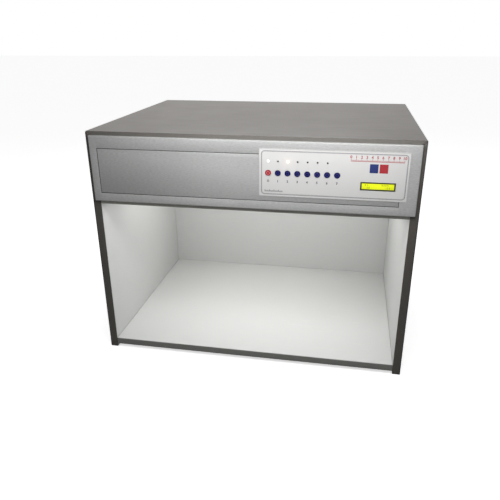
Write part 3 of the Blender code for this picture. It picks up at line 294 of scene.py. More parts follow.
RED_CAP = finish("red_button_plastic", (0.33, 0.006, 0.016), (0.26, 0.004, 0.01), *CAP, **CAP_COAT)
BLUE_CAP = finish("navy_button_plastic", (0.003, 0.003, 0.085), (0.002, 0.002, 0.06), *CAP, **CAP_COAT)
PINK_RING = finish("pale_red_ring", (0.76, 0.33, 0.35), (0.64, 0.24, 0.26), *RING)
SLATE_RING = finish("pale_blue_ring", (0.05, 0.055, 0.21), (0.035, 0.04, 0.16), *RING)
DARK_LENS = finish("smoked_lens", (0.02, 0.018, 0.018), (0.01, 0.009, 0.009), (0.08, 0.16), *LENS, coat=0.6,
                   coat_rough=0.08)
GREEN_WHITE_LENS = glowing(finish("green_white_lens", (0.86, 0.92, 0.82), (0.78, 0.86, 0.72), (0.12, 0.22), *LENS),
                           (0.86, 1.0, 0.78), 1.0)
WARM_LENS = glowing(finish("warm_white_lens", (0.95, 0.84, 0.68), (0.88, 0.74, 0.58), (0.12, 0.22), *LENS),
                    (1.0, 0.74, 0.42), 1.3)
# Moulded black plastic; the same black also paints the shade strip on the side boards' outer front corners.
BLACK_PLASTIC_AND_PAINTED_SHADE = finish("moulded_black_plastic_and_painted_shade", (0.03, 0.03, 0.031), (0.018, 0.018, 0.019), (0.34, 0.5), MOULDED,
                       (0.25, 0.00008), wear=(0.0005, 0.4, (0.1, 0.1, 0.1)))
OLIVE_BEZEL = finish("olive_black_bezel", (0.05, 0.05, 0.022), (0.03, 0.03, 0.014), (0.34, 0.48), MOULDED,
                     (0.2, 0.00006))
LCD_INK = finish("display_segment", (0.15, 0.17, 0.02), (0.1, 0.12, 0.015), (0.3, 0.4), (1500.0, 1.2),
                 (0.05, 0.00002))
GROOVE_SHADE = finish("groove_shade", (0.12, 0.118, 0.114), (0.08, 0.079, 0.076), (0.6, 0.75), (150.0, 1.6),
                      (0.1, 0.0001), (1.0, 14.0, 14.0), specular=0.1)
GREY_INK = finish("grey_print", (0.205, 0.205, 0.215), (0.15, 0.15, 0.16), *PRINT)
BLACK_INK = finish("black_print", (0.06, 0.06, 0.062), (0.035, 0.035, 0.037), *PRINT)
RED_INK = finish("red_print", (0.42, 0.03, 0.04), (0.3, 0.018, 0.026), *PRINT)
NAVY_INK = finish("navy_print", (0.02, 0.034, 0.17), (0.012, 0.022, 0.12), *PRINT)
# White print; the same white also paints the glow rings round the lit indicators.
WHITE_INK_AND_PAINTED_GLOW = finish("white_print_and_painted_glow", (0.9, 0.9, 0.89), (0.84, 0.84, 0.83), *PRINT)
DARK_SHEET = finish("dark_powder_coat", (0.062, 0.062, 0.064), (0.04, 0.04, 0.042), (0.42, 0.62), (700.0, 2.0),
                    (0.35, 0.00015), wear=(0.0008, 0.5, (0.3, 0.3, 0.3)), scuffs=(30.0, (1.0, 18.0, 18.0), 0.25))
WHITE_SHEET = finish("white_reflector_enamel", (0.86, 0.86, 0.845), (0.81, 0.81, 0.795), (0.25, 0.38), (300.0, 1.3),
                     (0.12, 0.0002), dust=0.12)
STEEL = finish("zinc_plated_steel", (0.64, 0.635, 0.62), (0.47, 0.466, 0.455), (0.22, 0.42), (380.0, 1.8),
               (0.12, 0.00008), (1.0, 1.0, 9.0), metallic=1.0)
BRASS = finish("nickel_brass_pin", (0.64, 0.6, 0.47), (0.52, 0.47, 0.35), (0.2, 0.34), (600.0, 1.5), (0.08, 0.00004),
               metallic=1.0)
ALUMINIUM = finish("lamp_cap_aluminium", (0.72, 0.722, 0.73), (0.6, 0.602, 0.61), (0.26, 0.4), (420.0, 1.6),
                   (0.1, 0.00005), (8.0, 1.0, 1.0), metallic=1.0)
PORCELAIN = finish("white_lampholder_resin", (0.82, 0.815, 0.785), (0.76, 0.752, 0.72), (0.26, 0.38), (520.0, 1.3),
                   (0.12, 0.00008), dust=0.08)
PHOSPHOR = finish("phosphor_lamp_glass", (0.9, 0.905, 0.89), (0.85, 0.856, 0.84), (0.08, 0.18), *GLASS, coat=0.5,
                  coat_rough=0.05)
DARK_GLASS = finish("dark_violet_lamp_glass", (0.03, 0.014, 0.06), (0.016, 0.007, 0.036), (0.06, 0.14), *GLASS,
                    coat=0.6, coat_rough=0.05)
BULB_GLASS = finish("frosted_bulb_glass", (0.88, 0.87, 0.84), (0.82, 0.806, 0.77), (0.3, 0.42), (1200.0, 1.3),
                    (0.08, 0.00003))


def relief_of_bricks(tree, place, mortar, wide, tall, **settings):
    """A lattice drawn on a face that looks forward."""
    turned = node(tree, "Mapping", [("Vector", place), ("Rotation", (math.pi / 2, 0.0, 0.0))]).outputs[0]
    return node(tree, "TexBrick", [("Vector", turned), ("Scale", 1.0), ("Mortar Size", mortar),
                                   ("Brick Width", wide), ("Row Height", tall)], **settings).outputs["Fac"]


def batten_timber():
    """Pine with rings and pores running along the batten."""
    made, tree, shader = new_finish("pine_batten")
    drawn = node(tree, "Mapping", [("Vector", here(tree)), ("Scale", (0.6, 9.0, 9.0))]).outputs[0]
    rings = node(tree, "TexWave", [("Vector", drawn), ("Scale", 3.0), ("Distortion", 5.0), ("Detail", 3.0)],
                 bands_direction="Z").outputs["Fac"]
    pores = effect(tree, GRAIN, scale=60.0, stretch=(0.6, 20.0, 20.0), detail=4.0, contrast=2.2)
    tone = maths(tree, "ADD", maths(tree, "MULTIPLY", rings, 0.6), maths(tree, "MULTIPLY", pores, 0.4))
    dress(tree, shader, tone, (0.3, 0.0004), {
        "Base Color": mixed(tree, tone, rgb(0.36, 0.22, 0.10), rgb(0.62, 0.44, 0.25)),
        "Roughness": spread(tree, pores, 0.62, 0.85)})
    return made


def circuit_laminate():
    """Green solder mask over a lattice of copper tracks."""
    made, tree, shader = new_finish("green_circuit_laminate")
    tracks = relief_of_bricks(tree, here(tree), 0.00022, 0.031, 0.0017, offset=0.31, squash=0.42, squash_frequency=3)
    weave = effect(tree, GRAIN, scale=900.0, detail=2.0, contrast=1.4)
    ground = mixed(tree, weave, rgb(0.012, 0.110, 0.045), rgb(0.020, 0.150, 0.065))
    dress(tree, shader, tracks, (0.3, 0.00008), {
        "Base Color": mixed(tree, tracks, ground, rgb(0.055, 0.260, 0.110)),
        "Roughness": spread(tree, weave, 0.28, 0.42)})
    return made


def lit_display():
    """Backlit yellow-green glass: faint character cells, brighter towards the middle."""
    made, tree, shader = new_finish("backlit_display")
    low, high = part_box("display_screen")
    centred = node(tree, "Mapping", [("Vector", here(tree)), ("Location", tuple(-(low + high) / 2))]).outputs[0]
    cells = relief_of_bricks(tree, centred, 0.00045, 0.0036, 0.0058, offset=0.0)
    across = node(tree, "SeparateXYZ", [(0, centred)]).outputs["X"]
    falloff = spread(tree, maths(tree, "ABSOLUTE", across), 1.0, 0.72, 0.0, (high.x - low.x) / 2)
    glow = mixed(tree, cells, rgb(0.70, 0.76, 0.010), rgb(0.82, 0.86, 0.012))
    speckle = effect(tree, GRAIN, scale=1500.0, detail=2.0, contrast=1.2)
    dress(tree, shader, cells, (0.1, 0.00003), {
        "Base Color": mixed(tree, speckle, rgb(0.50, 0.56, 0.02), rgb(0.58, 0.63, 0.02)),
        "Emission Color": mixed(tree, 1.0, glow, neutral(tree, falloff), "MULTIPLY"), "Emission Strength": 0.52,
        "Specular IOR Level": 0.2, "Roughness": spread(tree, speckle, 0.12, 0.20)})
    return made


def opal_acrylic():
    """Opal sheet lit from behind by a row of tubes along X."""
    made, tree, shader = new_finish("lit_opal_acrylic")
    first = middle_of("lamp_tube_1").y
    pitch = middle_of("lamp_tube_2").y - first
    along = node(tree, "SeparateXYZ", [(0, here(tree))]).outputs["Y"]
    phase = maths(tree, "MULTIPLY", maths(tree, "SUBTRACT", along, first), 2 * math.pi / pitch)
    band = spread(tree, maths(tree, "COSINE", phase), 0.84, 1.0, -1.0, 1.0)
    pearls = effect(tree, GRAIN, scale=500.0, detail=2.0, contrast=1.3)
    dress(tree, shader, pearls, (0.2, 0.0001), {
        "Emission Color": mixed(tree, 1.0, neutral(tree, band), rgb(1.0, 0.995, 0.975), "MULTIPLY"),
        "Emission Strength": 2.14, "Base Color": mixed(tree, pearls, rgb(0.82, 0.82, 0.80), rgb(0.88, 0.88, 0.87)),
        "Roughness": spread(tree, pearls, 0.38, 0.55)})
    return made


TIMBER = batten_timber()
CIRCUIT = circuit_laminate()
DISPLAY = lit_display()
OPAL = opal_acrylic()


# ---------------------------------------------------------------- shape helpers
TO_FRONT = Matrix.Rotation(math.pi / 2, 3, "X")      # a turned shape's +Z towards -Y
TO_REAR = Matrix.Rotation(-math.pi / 2, 3, "X")
TO_RIGHT = Matrix.Rotation(math.pi / 2, 3, "Y")
TO_LEFT = Matrix.Rotation(-math.pi / 2, 3, "Y")
FITTINGS = (("left", -1, TO_RIGHT), ("right", 1, TO_LEFT))      # each end's word, side and turn inwards


def box(low, high):
    """A box between two corners."""
    bm = bmesh.new()
    low, high = Vector(low), Vector(high)
    bmesh.ops.create_cube(bm, size=1.0)
    bmesh.ops.scale(bm, vec=high - low, verts=bm.verts)
    bmesh.ops.translate(bm, vec=(low + high) / 2, verts=bm.verts)
    bm.normal_update()
    return bm


def creases(bm, limit=30.0):
    """The edges where two faces meet at more than an angle."""
    bm.normal_update()
    return [e for e in bm.edges if len(e.link_faces) == 2 and e.calc_face_angle() > math.radians(limit)]


def deep_edges(bm, least):
    """The edges that run front to back for more than a length."""
    return [e for e in bm.edges if abs(e.verts[0].co.y - e.verts[1].co.y) > least]


def before(edges, y):
    """The edges wholly in front of a depth."""
    return [e for e in edges if max(v.co.y for v in e.verts) < y]


def behind(edges, y):
    """The edges wholly behind a depth."""
    return [e for e in edges if min(v.co.y for v in e.verts) > y]


def soften(bm, edges, width, segments=3):
    """Round edges; the rounded faces are shaded smooth."""
    rounded = bmesh.ops.bevel(bm, geom=edges, offset=width, segments=segments, profile=0.5,
                              affect="EDGES", material=-1, clamp_overlap=True)["faces"]
    for face in rounded:
        face.smooth = True
    return bm


def brick(low, high, edge=0.0005, segments=3):
    """A box with every edge rounded."""
    bm = box(low, high)
    return soften(bm, list(bm.edges), edge, segments)


def around(x, z, half_x, half_z, near, far):
    """The corners of a block centred on x and z, between two depths."""
    return (x - half_x, near, z - half_z), (x + half_x, far, z + half_z)


def lathe(profile, steps=48):
    """A closed turned shape: (radius, height) points from the top of its Z axis down."""
    bm = bmesh.new()
    points = [bm.verts.new((radius, 0.0, height)) for radius, height in profile]
    lines = [bm.edges.new(pair) for pair in zip(points, points[1:])]
    bmesh.ops.spin(bm, geom=points + lines, cent=(0.0, 0.0, 0.0), axis=(0.0, 0.0, 1.0),
                   angle=2 * math.pi, steps=steps, use_merge=True)
    bmesh.ops.remove_doubles(bm, verts=bm.verts, dist=0.000001)
    bmesh.ops.recalc_face_normals(bm, faces=bm.faces)
    for face in bm.faces:
        face.smooth = True
    return bm


def moved(bm, place, turn=None):
    """Turn a shape about the origin, then put it in its place."""
    if turn is not None:
        bmesh.ops.rotate(bm, cent=(0.0, 0.0, 0.0), matrix=turn, verts=bm.verts)
    bmesh.ops.translate(bm, vec=place, verts=bm.verts)
    return bm


def rod(radius, length, steps, place, turn=None):
    """A turned pin from its place along +Z or the turned axis, its far rim eased."""
    rim = radius * 0.2
    outline = [(0.0, length), (radius - rim, length), (radius, length - rim), (radius, 0.0), (0.0, 0.0)]
    return moved(lathe(outline, steps), place, turn)


def new_verts(made):
    return [v for v in made["geom"] if isinstance(v, bmesh.types.BMVert)]


def raised(bm, rise, keep=False):
    """Give an open flat shape its thickness."""
    lifted = new_verts(bmesh.ops.extrude_face_region(bm, geom=bm.faces[:], use_keep_orig=keep))
    bmesh.ops.translate(bm, vec=rise, verts=lifted)
    bmesh.ops.recalc_face_normals(bm, faces=bm.faces)
    return bm


def flat_ring(radius, inner, thickness):
    """A ring lying flat; inner is its opening as a share of the whole."""
    ring = bmesh.new()
    bmesh.ops.create_circle(ring, segments=28, radius=radius)
    rim = new_verts(bmesh.ops.extrude_edge_only(ring, edges=ring.edges[:]))
    bmesh.ops.scale(ring, vec=(inner, inner, 1.0), verts=rim)
    return raised(ring, (0.0, 0.0, thickness))


def cut_at(bm, axis, place):
    """Divide the faces of a shape at a plane across one axis."""
    normal, point = Vector((0.0, 0.0, 0.0)), Vector((0.0, 0.0, 0.0))
    normal[axis], point[axis] = 1.0, place
    bmesh.ops.bisect_plane(bm, geom=bm.verts[:] + bm.edges[:] + bm.faces[:], plane_co=point, plane_no=normal,
                           dist=0.0000001)


def window(bm, low, high, axis):
    """Cut a rectangular opening through a block along an axis."""
    others = [i for i in range(3) if i != axis]
    for i in others:
        cut_at(bm, i, low[i])
        cut_at(bm, i, high[i])
    bm.normal_update()
    inside = [f for f in bm.faces if abs(f.normal[axis]) > FACING
              and all(low[i] < f.calc_center_median()[i] < high[i] for i in others)]
    rims = [e for f in inside for e in f.edges]
    bmesh.ops.delete(bm, geom=inside, context="FACES_ONLY")
    bmesh.ops.bridge_loops(bm, edges=rims)
    bm.normal_update()
    return bm


def mesh_of(bm, name="shape"):
    """A shape as a mesh; the shape is used up."""
    mesh = bpy.data.meshes.new(name)
    bm.to_mesh(mesh)
    bm.free()
    return mesh


def shape_of(mesh, whole=None):
    """A mesh as a shape, or added to one; the mesh is used up."""
    whole = whole or bmesh.new()
    whole.from_mesh(mesh)
    bpy.data.meshes.remove(mesh)
    return whole


def together(shapes):
    """Several shapes as one."""
    whole = bmesh.new()
    for shape in shapes:
        shape_of(mesh_of(shape), whole)
    return whole


def placed(name, data):
    """An object in the scene."""
    made = bpy.data.objects.new(name, data)
    bpy.context.scene.collection.objects.link(made)
    return made


def evaluated_mesh(made):
    """What an object's modifiers or text make of it."""
    return bpy.data.meshes.new_from_object(made.evaluated_get(bpy.context.evaluated_depsgraph_get()))


def carved(bm, tool, operation="DIFFERENCE"):
    """A shape with another cut from it, or joined to it."""
    body, other = placed("body", mesh_of(bm)), placed("tool", mesh_of(tool))
    step = body.modifiers.new("carve", "BOOLEAN")
    step.operation, step.solver, step.object = operation, "EXACT", other
    result = shape_of(evaluated_mesh(body))
    for used in (body, other):
        data = used.data
        bpy.data.objects.remove(used)
        bpy.data.meshes.remove(data)
    return result


def piece(name, *parts, body="cabinet", nodes=(), slot=None):
    """Make one piece from (shape or list of shapes, finish) parts.
    A list of finishes keeps the shape's own face numbers."""
    whole, finishes = bmesh.new(), []
    for shape, given in parts:
        if isinstance(shape, list):
            shape = together(shape)
        several = given if isinstance(given, list) else [given]
        for one in several:
            if one not in finishes:
                finishes.append(one)
        for face in shape.faces:
            index = face.material_index if isinstance(given, list) else 0
            face.material_index = finishes.index(several[index])
        shape_of(mesh_of(shape), whole)
    mesh = mesh_of(whole, name)
    for one in finishes:
        mesh.materials.append(one)
    mesh.set_sharp_from_angle(angle=math.radians(38))
    made = placed(name, mesh)
    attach(made, body)
    if nodes:
        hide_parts(*nodes)
    return made


def number_faces(bm, inward):
    """Number the faces that look one way 1, and the rest 0."""
    bm.normal_update()
    for face in bm.faces:
        face.material_index = 1 if face.normal.dot(Vector(inward)) > FACING else 0


# ---------------------------------------------------------------- boards
def board_shape(low, high, sides, upper):
    """A board with its top corners (upper) or its bottom corners cut at 45 degrees at the given sides."""
    bm = box(low, high)
    middle = (Vector(low) + Vector(high)) / 2
    for side in sides:
        if upper:
            cut = [v for v in bm.verts if (v.co.x - middle.x) * side < 0 and v.co.z > middle.z]
            shift = (0.0, 0.0, -BOARD)
        else:
            cut = [v for v in bm.verts if v.co.x * side > 0 and v.co.z < middle.z]
            shift = (-side * BOARD, 0.0, 0.0)
        bmesh.ops.translate(bm, vec=shift, verts=cut)
    return bm


def edge_strip(make, low, high):
    """The plastic strip on a board's front edge, its front edges eased."""
    strip = make(low, (high.x, low.y + EDGING - STRIP_GAP, high.z))
    return soften(strip, before(strip.edges, low.y + EDGING / 2), 0.0008)


def with_edging(node_name, make, laminate, inward, edging, slot):
    """A board with its plastic edge strip at the front."""
    low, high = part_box(node_name)
    core = make((low.x, low.y + EDGING, low.z), high)
    number_faces(core, inward)
    rear = [e for e in core.edges if max(v.co.y for v in e.verts) > low.y + 2 * EDGING]
    soften(core, rear, 0.0012)
    piece(node_name + "_laminated", (core, [laminate, CHAMBER_PAINT]), nodes=[node_name], slot=slot)
    piece(node_name + "_edging", (edge_strip(make, low, high), edging))
    return low, high


def boards():
    for word, side in (("left", -1), ("right", 1)):
        low, high = with_edging(f"{word}_side_board", lambda low, high: board_shape(low, high, (side,), True),
                                SIDE_LAMINATE, (-side, 0.0, 0.0), DARK_EDGING, "grey_laminate")
        # A black strip along each side board's outer front corner: painted shade standing in for the rounded corner
        # turned away from the light.
        outer = high.x if side > 0 else low.x
        near, far = sorted((outer - side * 0.0019, outer - side * 0.0001))
        line = brick((near, low.y - 0.00015, low.z + 0.0008), (far, low.y + 0.0006, high.z - 0.0020), 0.0002, 2)
        piece(f"{word}_side_board_painted_shade_strip", (line, BLACK_PLASTIC_AND_PAINTED_SHADE))
    with_edging("top_board", lambda low, high: board_shape(low, high, (-1, 1), False), TOP_LAMINATE,
                (0.0, 0.0, -1.0), TOP_EDGING, "grey_laminate")
    with_edging("base_board", box, TOP_LAMINATE, (0.0, 0.0, 1.0), BASE_EDGING, "chamber_paint")
    low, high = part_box("back_board")
    rear = box(low, high)
    number_faces(rear, (0.0, -1.0, 0.0))
    soften(rear, behind(rear.edges, low.y + 0.001), 0.0008)
    piece("back_board_panel", (rear, [TOP_LAMINATE, CHAMBER_PAINT]), nodes=["back_board"], slot="chamber_paint")


def ceiling():
    """The board over the chamber, with the light aperture."""
    low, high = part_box("ceiling_board")
    panel_low, panel_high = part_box("diffuser_panel")
    lap = Vector((0.010, 0.010, 0.0))
    core = window(box((low.x, low.y + EDGING, low.z), high), panel_low + lap, panel_high - lap, 2)
    soften(core, creases(core), 0.0008, 2)
    piece("ceiling_board_painted", (core, CHAMBER_PAINT), nodes=["ceiling_board"], slot="chamber_paint")
    # The edge strip under the front plate takes the grey with painted light in it.
    piece("ceiling_board_edging", (edge_strip(box, low, high), CEILING_EDGING_PAINTED_LIGHTER))
    piece("opal_diffuser", (brick(panel_low, panel_high, 0.0006), OPAL), nodes=["diffuser_panel"],
          slot="opal_acrylic")


# ---------------------------------------------------------------- front plate
def button_names():
    return ["power_button"] + [f"source_button_{i}" for i in range(1, SOURCES + 1)]


def panel_cutter():
    """The openings for the buttons, indicators and display."""
    start = BOARD_FRONT - 0.020
    openings = [(name, 0.0063, 48) for name in button_names()]
    openings += [(f"indicator_{i}", 0.0020, 32) for i in range(1, SOURCES + 1)]
    shapes = [rod(radius, 0.030, steps, (middle_of(name).x, start, middle_of(name).z), TO_REAR)
              for name, radius, steps in openings]
    low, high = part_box("display_bezel")
    shapes.append(box((low.x - GAP, start, low.z - GAP), (high.x + GAP, BOARD_FRONT + 0.010, high.z + GAP)))
    return together(shapes)


def front_plate():
    """Folded sheet tray with a pressed rectangular groove."""
    low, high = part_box("front_fascia")
    groove_width, groove_depth = 0.0014, 0.0008
    left, right, bottom, top = low.x + 0.0170, high.x - 0.0345, low.z + 0.0185, high.z - 0.0265
    bm = box(low, (high.x, BOARD_FRONT - GAP, high.z))
    for axis, first, last in ((0, left, right), (2, bottom, top)):
        for place in (first, first + groove_width, last - groove_width, last):
            cut_at(bm, axis, place)
    bm.normal_update()

    def within(point, margin):
        return left + margin < point.x < right - margin and bottom + margin < point.z < top - margin

    ring = [f for f in bm.faces if f.normal.y < -FACING and within(f.calc_center_median(), 0.0)
            and not within(f.calc_center_median(), groove_width)]
    pressed = new_verts(bmesh.ops.extrude_face_region(bm, geom=ring))
    bmesh.ops.translate(bm, vec=(0.0, groove_depth, 0.0), verts=pressed)
    bmesh.ops.delete(bm, geom=[f for f in ring if f.is_valid], context="FACES_ONLY")
    for face in bm.faces:
        depth = face.calc_center_median().y - low.y
        face.material_index = 1 if groove_depth / 2 < depth < 2 * groove_depth else 0
    rear = BOARD_FRONT - GAP - 0.0001
    folds = [e for e in creases(bm) if min(v.co.y for v in e.verts) < rear
             and not all(within(v.co, -0.001) for v in e.verts)]
    soften(bm, folds, 0.0016, 4)
    lips = [e for e in creases(bm, 60.0) if min(v.co.y for v in e.verts) < rear]
    soften(bm, lips, 0.00025, 2)
    hollow = box(low + Vector((SHEET, SHEET, SHEET)), (high.x - SHEET, BOARD_FRONT + 0.01, high.z - SHEET))
    plate = carved(carved(bm, hollow), panel_cutter())
    piece("brushed_front_plate", (plate, [FASCIA, GROOVE_SHADE]), nodes=["front_fascia"], slot="fascia_enamel")


def film():
    """The control film with its openings."""
    low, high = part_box("control_overlay")
    bm = box(low, high)
    soften(bm, deep_edges(bm, (high.y - low.y) / 2), 0.0020, 6)
    piece("control_film", (carved(bm, panel_cutter()), OVERLAY), nodes=["control_overlay"], slot="overlay_film")


def caps():
    """Button caps: an eased rim, a pressed ring and a slightly dished middle."""
    for name in button_names():
        low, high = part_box(name)
        back = -(high.y - low.y)
        outline = [(0.0, -0.00022), (0.0012, -0.00018), (0.0024, -0.00004), (0.0027, -0.00002), (0.0028, -0.00014),
                   (0.0034, -0.00014), (0.0035, -0.00002), (0.0050, 0.0), (0.0055, -0.00008), (0.0058, -0.00026),
                   (0.0060, -0.00060), (0.0060, -0.0041), (0.0071, -0.0041), (0.0071, -0.0051), (0.0022, -0.0051),
                   (0.0022, back), (0.0, back)]
        bm = lathe(outline, 64)
        for face in bm.faces:
            centre = face.calc_center_median()
            reach = math.hypot(centre.x, centre.y)
            face.material_index = 1 if 0.0027 < reach < 0.0035 and centre.z > -0.001 else 0
        power = name == "power_button"
        moved(bm, (middle_of(name).x, low.y, middle_of(name).z), TO_FRONT)
        piece(name + "_cap", (bm, [RED_CAP, PINK_RING] if power else [BLUE_CAP, SLATE_RING]), body=name,
              nodes=[name], slot="button_red" if power else "button_blue")


def lenses():
    """Domed indicator lenses on flanged stems."""
    radius = 0.0017
    for index in range(1, SOURCES + 1):
        name = f"indicator_{index}"
        low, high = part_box(name)
        back = -(high.y - low.y)
        outline = [(radius * math.sin(math.radians(a)), radius * (math.cos(math.radians(a)) - 1))
                   for a in range(0, 91, 10)]
        outline += [(radius, -0.0042), (0.0023, -0.0042), (0.0023, back), (0.0, back)]
        bm = moved(lathe(outline, 32), (middle_of(name).x, low.y, middle_of(name).z), TO_FRONT)
        piece(name + "_lens", (bm, {1: GREEN_WHITE_LENS, 3: WARM_LENS}.get(index, DARK_LENS)), nodes=[name],
              slot="indicator_lit" if index in LIT else "indicator_lens")


SEGMENTS = {"0": "abcdef", "1": "bc", "2": "abged", "3": "abgcd", "4": "fgbc", "5": "afgcd", "6": "afgedc"}


def segment_digit(digit, x, z, size, front):
    """Thin bars of one seven-segment digit, its lower left corner at x, z."""
    wide, stroke = size * 0.55, size * 0.13
    bars = {"a": (0, size - stroke, wide, size), "b": (wide - stroke, size / 2, wide, size),
            "c": (wide - stroke, 0, wide, size / 2), "d": (0, 0, wide, stroke), "e": (0, 0, stroke, size / 2),
            "f": (0, size / 2, stroke, size), "g": (0, (size - stroke) / 2, wide, (size + stroke) / 2)}
    trim = stroke * 0.12
    return [box((x + bars[s][0] + trim, front - INK, z + bars[s][1] + trim),
                (x + bars[s][2] - trim, front + INK, z + bars[s][3] - trim)) for s in SEGMENTS[digit]]


def readout():
    """Bezel, backlit glass and its digits."""
    low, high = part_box("display_bezel")
    glass_low, glass_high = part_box("display_screen")
    rim = Vector((0.0024, 0.0, 0.0024))
    bm = window(box(low, high), low + rim, high - rim, 1)
    soften(bm, creases(bm), 0.0004, 2)
    piece("display_surround", (bm, OLIVE_BEZEL), nodes=["display_bezel"], slot="black_plastic")
    piece("display_glass", (brick(glass_low, glass_high, 0.0003, 2), DISPLAY), nodes=["display_screen"],
          slot="display_glass")
    size = pitch = 0.0036
    bars = []
    for text, column, row in (("65", 1, 1), ("2024", 10, 1), ("00", 2, 0), ("153", 12, 0)):
        for place, digit in enumerate(text):
            bars += segment_digit(digit, glass_low.x + 0.0030 + (column + place) * pitch,
                                  glass_low.z + 0.0014 + row * 0.0055, size, glass_low.y)
    piece("display_digits", (bars, LCD_INK))


# ---------------------------------------------------------------- print on the film, and painted glow round the lit indicators
def rounded_ring(low_x, high_x, low_z, high_z, radius, width, face):
    """A printed outline with rounded corners."""
    bm = bmesh.new()
    corners = [bm.verts.new((x, face + INK / 2, z)) for x, z in
               ((low_x, low_z), (high_x, low_z), (high_x, high_z), (low_x, high_z))]
    bm.faces.new(corners)
    bmesh.ops.bevel(bm, geom=bm.verts[:], offset=radius, segments=8, profile=0.5, affect="VERTICES", material=-1)
    bm.normal_update()
    outline = list(bm.faces)
    bmesh.ops.inset_region(bm, faces=outline, thickness=width, use_boundary=True, use_even_offset=True)
    bmesh.ops.delete(bm, geom=outline, context="FACES_ONLY")
    return raised(bm, (0.0, -1.5 * INK, 0.0))


def ink_bar(low_x, high_x, low_z, high_z, face):
    return box((low_x, face - INK, low_z), (high_x, face + INK / 2, high_z))


def numeral(number, x, z, size, face):
    """A printed number, centred at x, z."""
    words = bpy.data.curves.new("number", "FONT")
    words.body = str(number)
    words.size = size
    words.align_x, words.align_y = "CENTER", "CENTER"
    words.extrude = INK / 2
    words.offset = 0.00022
    words.resolution_u = 4
    shown = placed("number", words)
    bm = shape_of(evaluated_mesh(shown))
    bpy.data.objects.remove(shown)
    bpy.data.curves.remove(words)
    bmesh.ops.remove_doubles(bm, verts=bm.verts, dist=0.0000005)
    return moved(bm, (x, face - INK / 2, z), TO_FRONT)


def power_mark(x, z, size, face):
    """A ring with a bar through its top."""
    ring = moved(flat_ring(size / 2, 0.66, 1.5 * INK), (x, face + INK / 2, z), TO_FRONT)
    return [ring, ink_bar(x - size * 0.09, x + size * 0.09, z + size * 0.08, z + size * 0.74, face)]


def printing():
    """Generic marks: frame lines, source numbers, a red rule, plain colour patches and a short rule; the white rings
    round the lit indicators are painted glow.
    """
    low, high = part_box("control_overlay")
    face = low.y
    grey = [rounded_ring(low.x + sides[0], high.x - sides[1], low.z + sides[2], high.z - sides[1], radius, width, face)
            for sides, radius, width in (((0.0046, 0.0040, 0.0042), 0.0074, 0.00110),
                                         ((0.0063, 0.0057, 0.0059), 0.0058, 0.00050),
                                         ((0.0004, 0.0004, 0.0004), 0.0022, 0.00035))]
    power = middle_of("power_button")
    under = power.z - 0.0170
    black = power_mark(power.x, under, 0.0046, face)
    black += [numeral(i, middle_of(f"source_button_{i}").x, under, 0.0066, face) for i in range(1, SOURCES + 1)]
    start, pitch = low.x + 0.0125, 0.0019
    for index in range(20):
        tall = 0.0046 if index % 5 == 0 else 0.0030
        black.append(ink_bar(start + index * pitch, start + index * pitch + 0.0009, low.z + 0.0100,
                             low.z + 0.0100 + tall, face))
    right, step, base = high.x - 0.0115, 0.0103, high.z - 0.0196
    red = []
    for index in range(51):
        x = right - (50 - index) * step / 5
        tall = 0.0042 if index % 5 == 0 else 0.0024
        red.append(ink_bar(x - 0.00040, x + 0.00040, base, base + tall, face))
    red += [numeral(i, right - (10 - i) * step, high.z - 0.0116, 0.0078, face) for i in range(11)]
    red.append(ink_bar(right - 10 * step - 0.0003, right + 0.0003, high.z - 0.0204, base, face))
    x, z = high.x - 0.0770, high.z - 0.0425
    navy = ink_bar(x, x + 0.0165, z, z + 0.0180, face)
    red.append(ink_bar(x + 0.0190, x + 0.0355, z, z + 0.0180, face))
    # White rings round the lit indicators only: painted glow on the film around each lit lens.
    reach, white = 0.0032, []
    for place in (middle_of(f"indicator_{i}") for i in LIT):
        white.append(rounded_ring(place.x - reach, place.x + reach, place.z - reach, place.z + reach,
                                  0.0031, 0.0009, face))
    for name, shapes, ink in (("film_frame_lines", grey, GREY_INK), ("film_marks", black, BLACK_INK),
                              ("film_red_rule", red, RED_INK), ("film_navy_patch", navy, NAVY_INK),
                              ("film_painted_glow_rings", white, WHITE_INK_AND_PAINTED_GLOW)):
        piece(name, (shapes, ink))


# ---------------------------------------------------------------- rear panel and mains fittings
def service_panel():
    """Powder-coated sheet with rounded vent slots and the openings for its fittings."""
    low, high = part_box("rear_service_panel")
    near, far = low.y - 0.004, high.y + 0.004
    cutters = []
    for group in (-1, 1):
        for index in range(8):
            x = group * 0.130 + (index - 3.5) * 0.0105
            slot = box((x - 0.00225, near, low.z + 0.049), (x + 0.00225, far, low.z + 0.101))
            cutters.append(soften(slot, deep_edges(slot, 0.004), 0.0022, 5))
    for index in range(1, 7):
        place = middle_of(f"panel_screw_{index}")
        cutters.append(rod(0.0019, 0.012, 20, (place.x, low.y - 0.005, place.z), TO_REAR))
    for name, rim in (("mains_inlet", 0.0015), ("mains_switch_housing", 0.0017)):
        first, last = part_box(name)
        cutters.append(box((first.x + rim, near, first.z + rim), (last.x - rim, far, last.z - rim)))
    plate = carved(brick(low, high, 0.0005, 2), together(cutters))
    piece("rear_panel_sheet", (plate, DARK_SHEET), nodes=["rear_service_panel"], slot="dark_sheet")


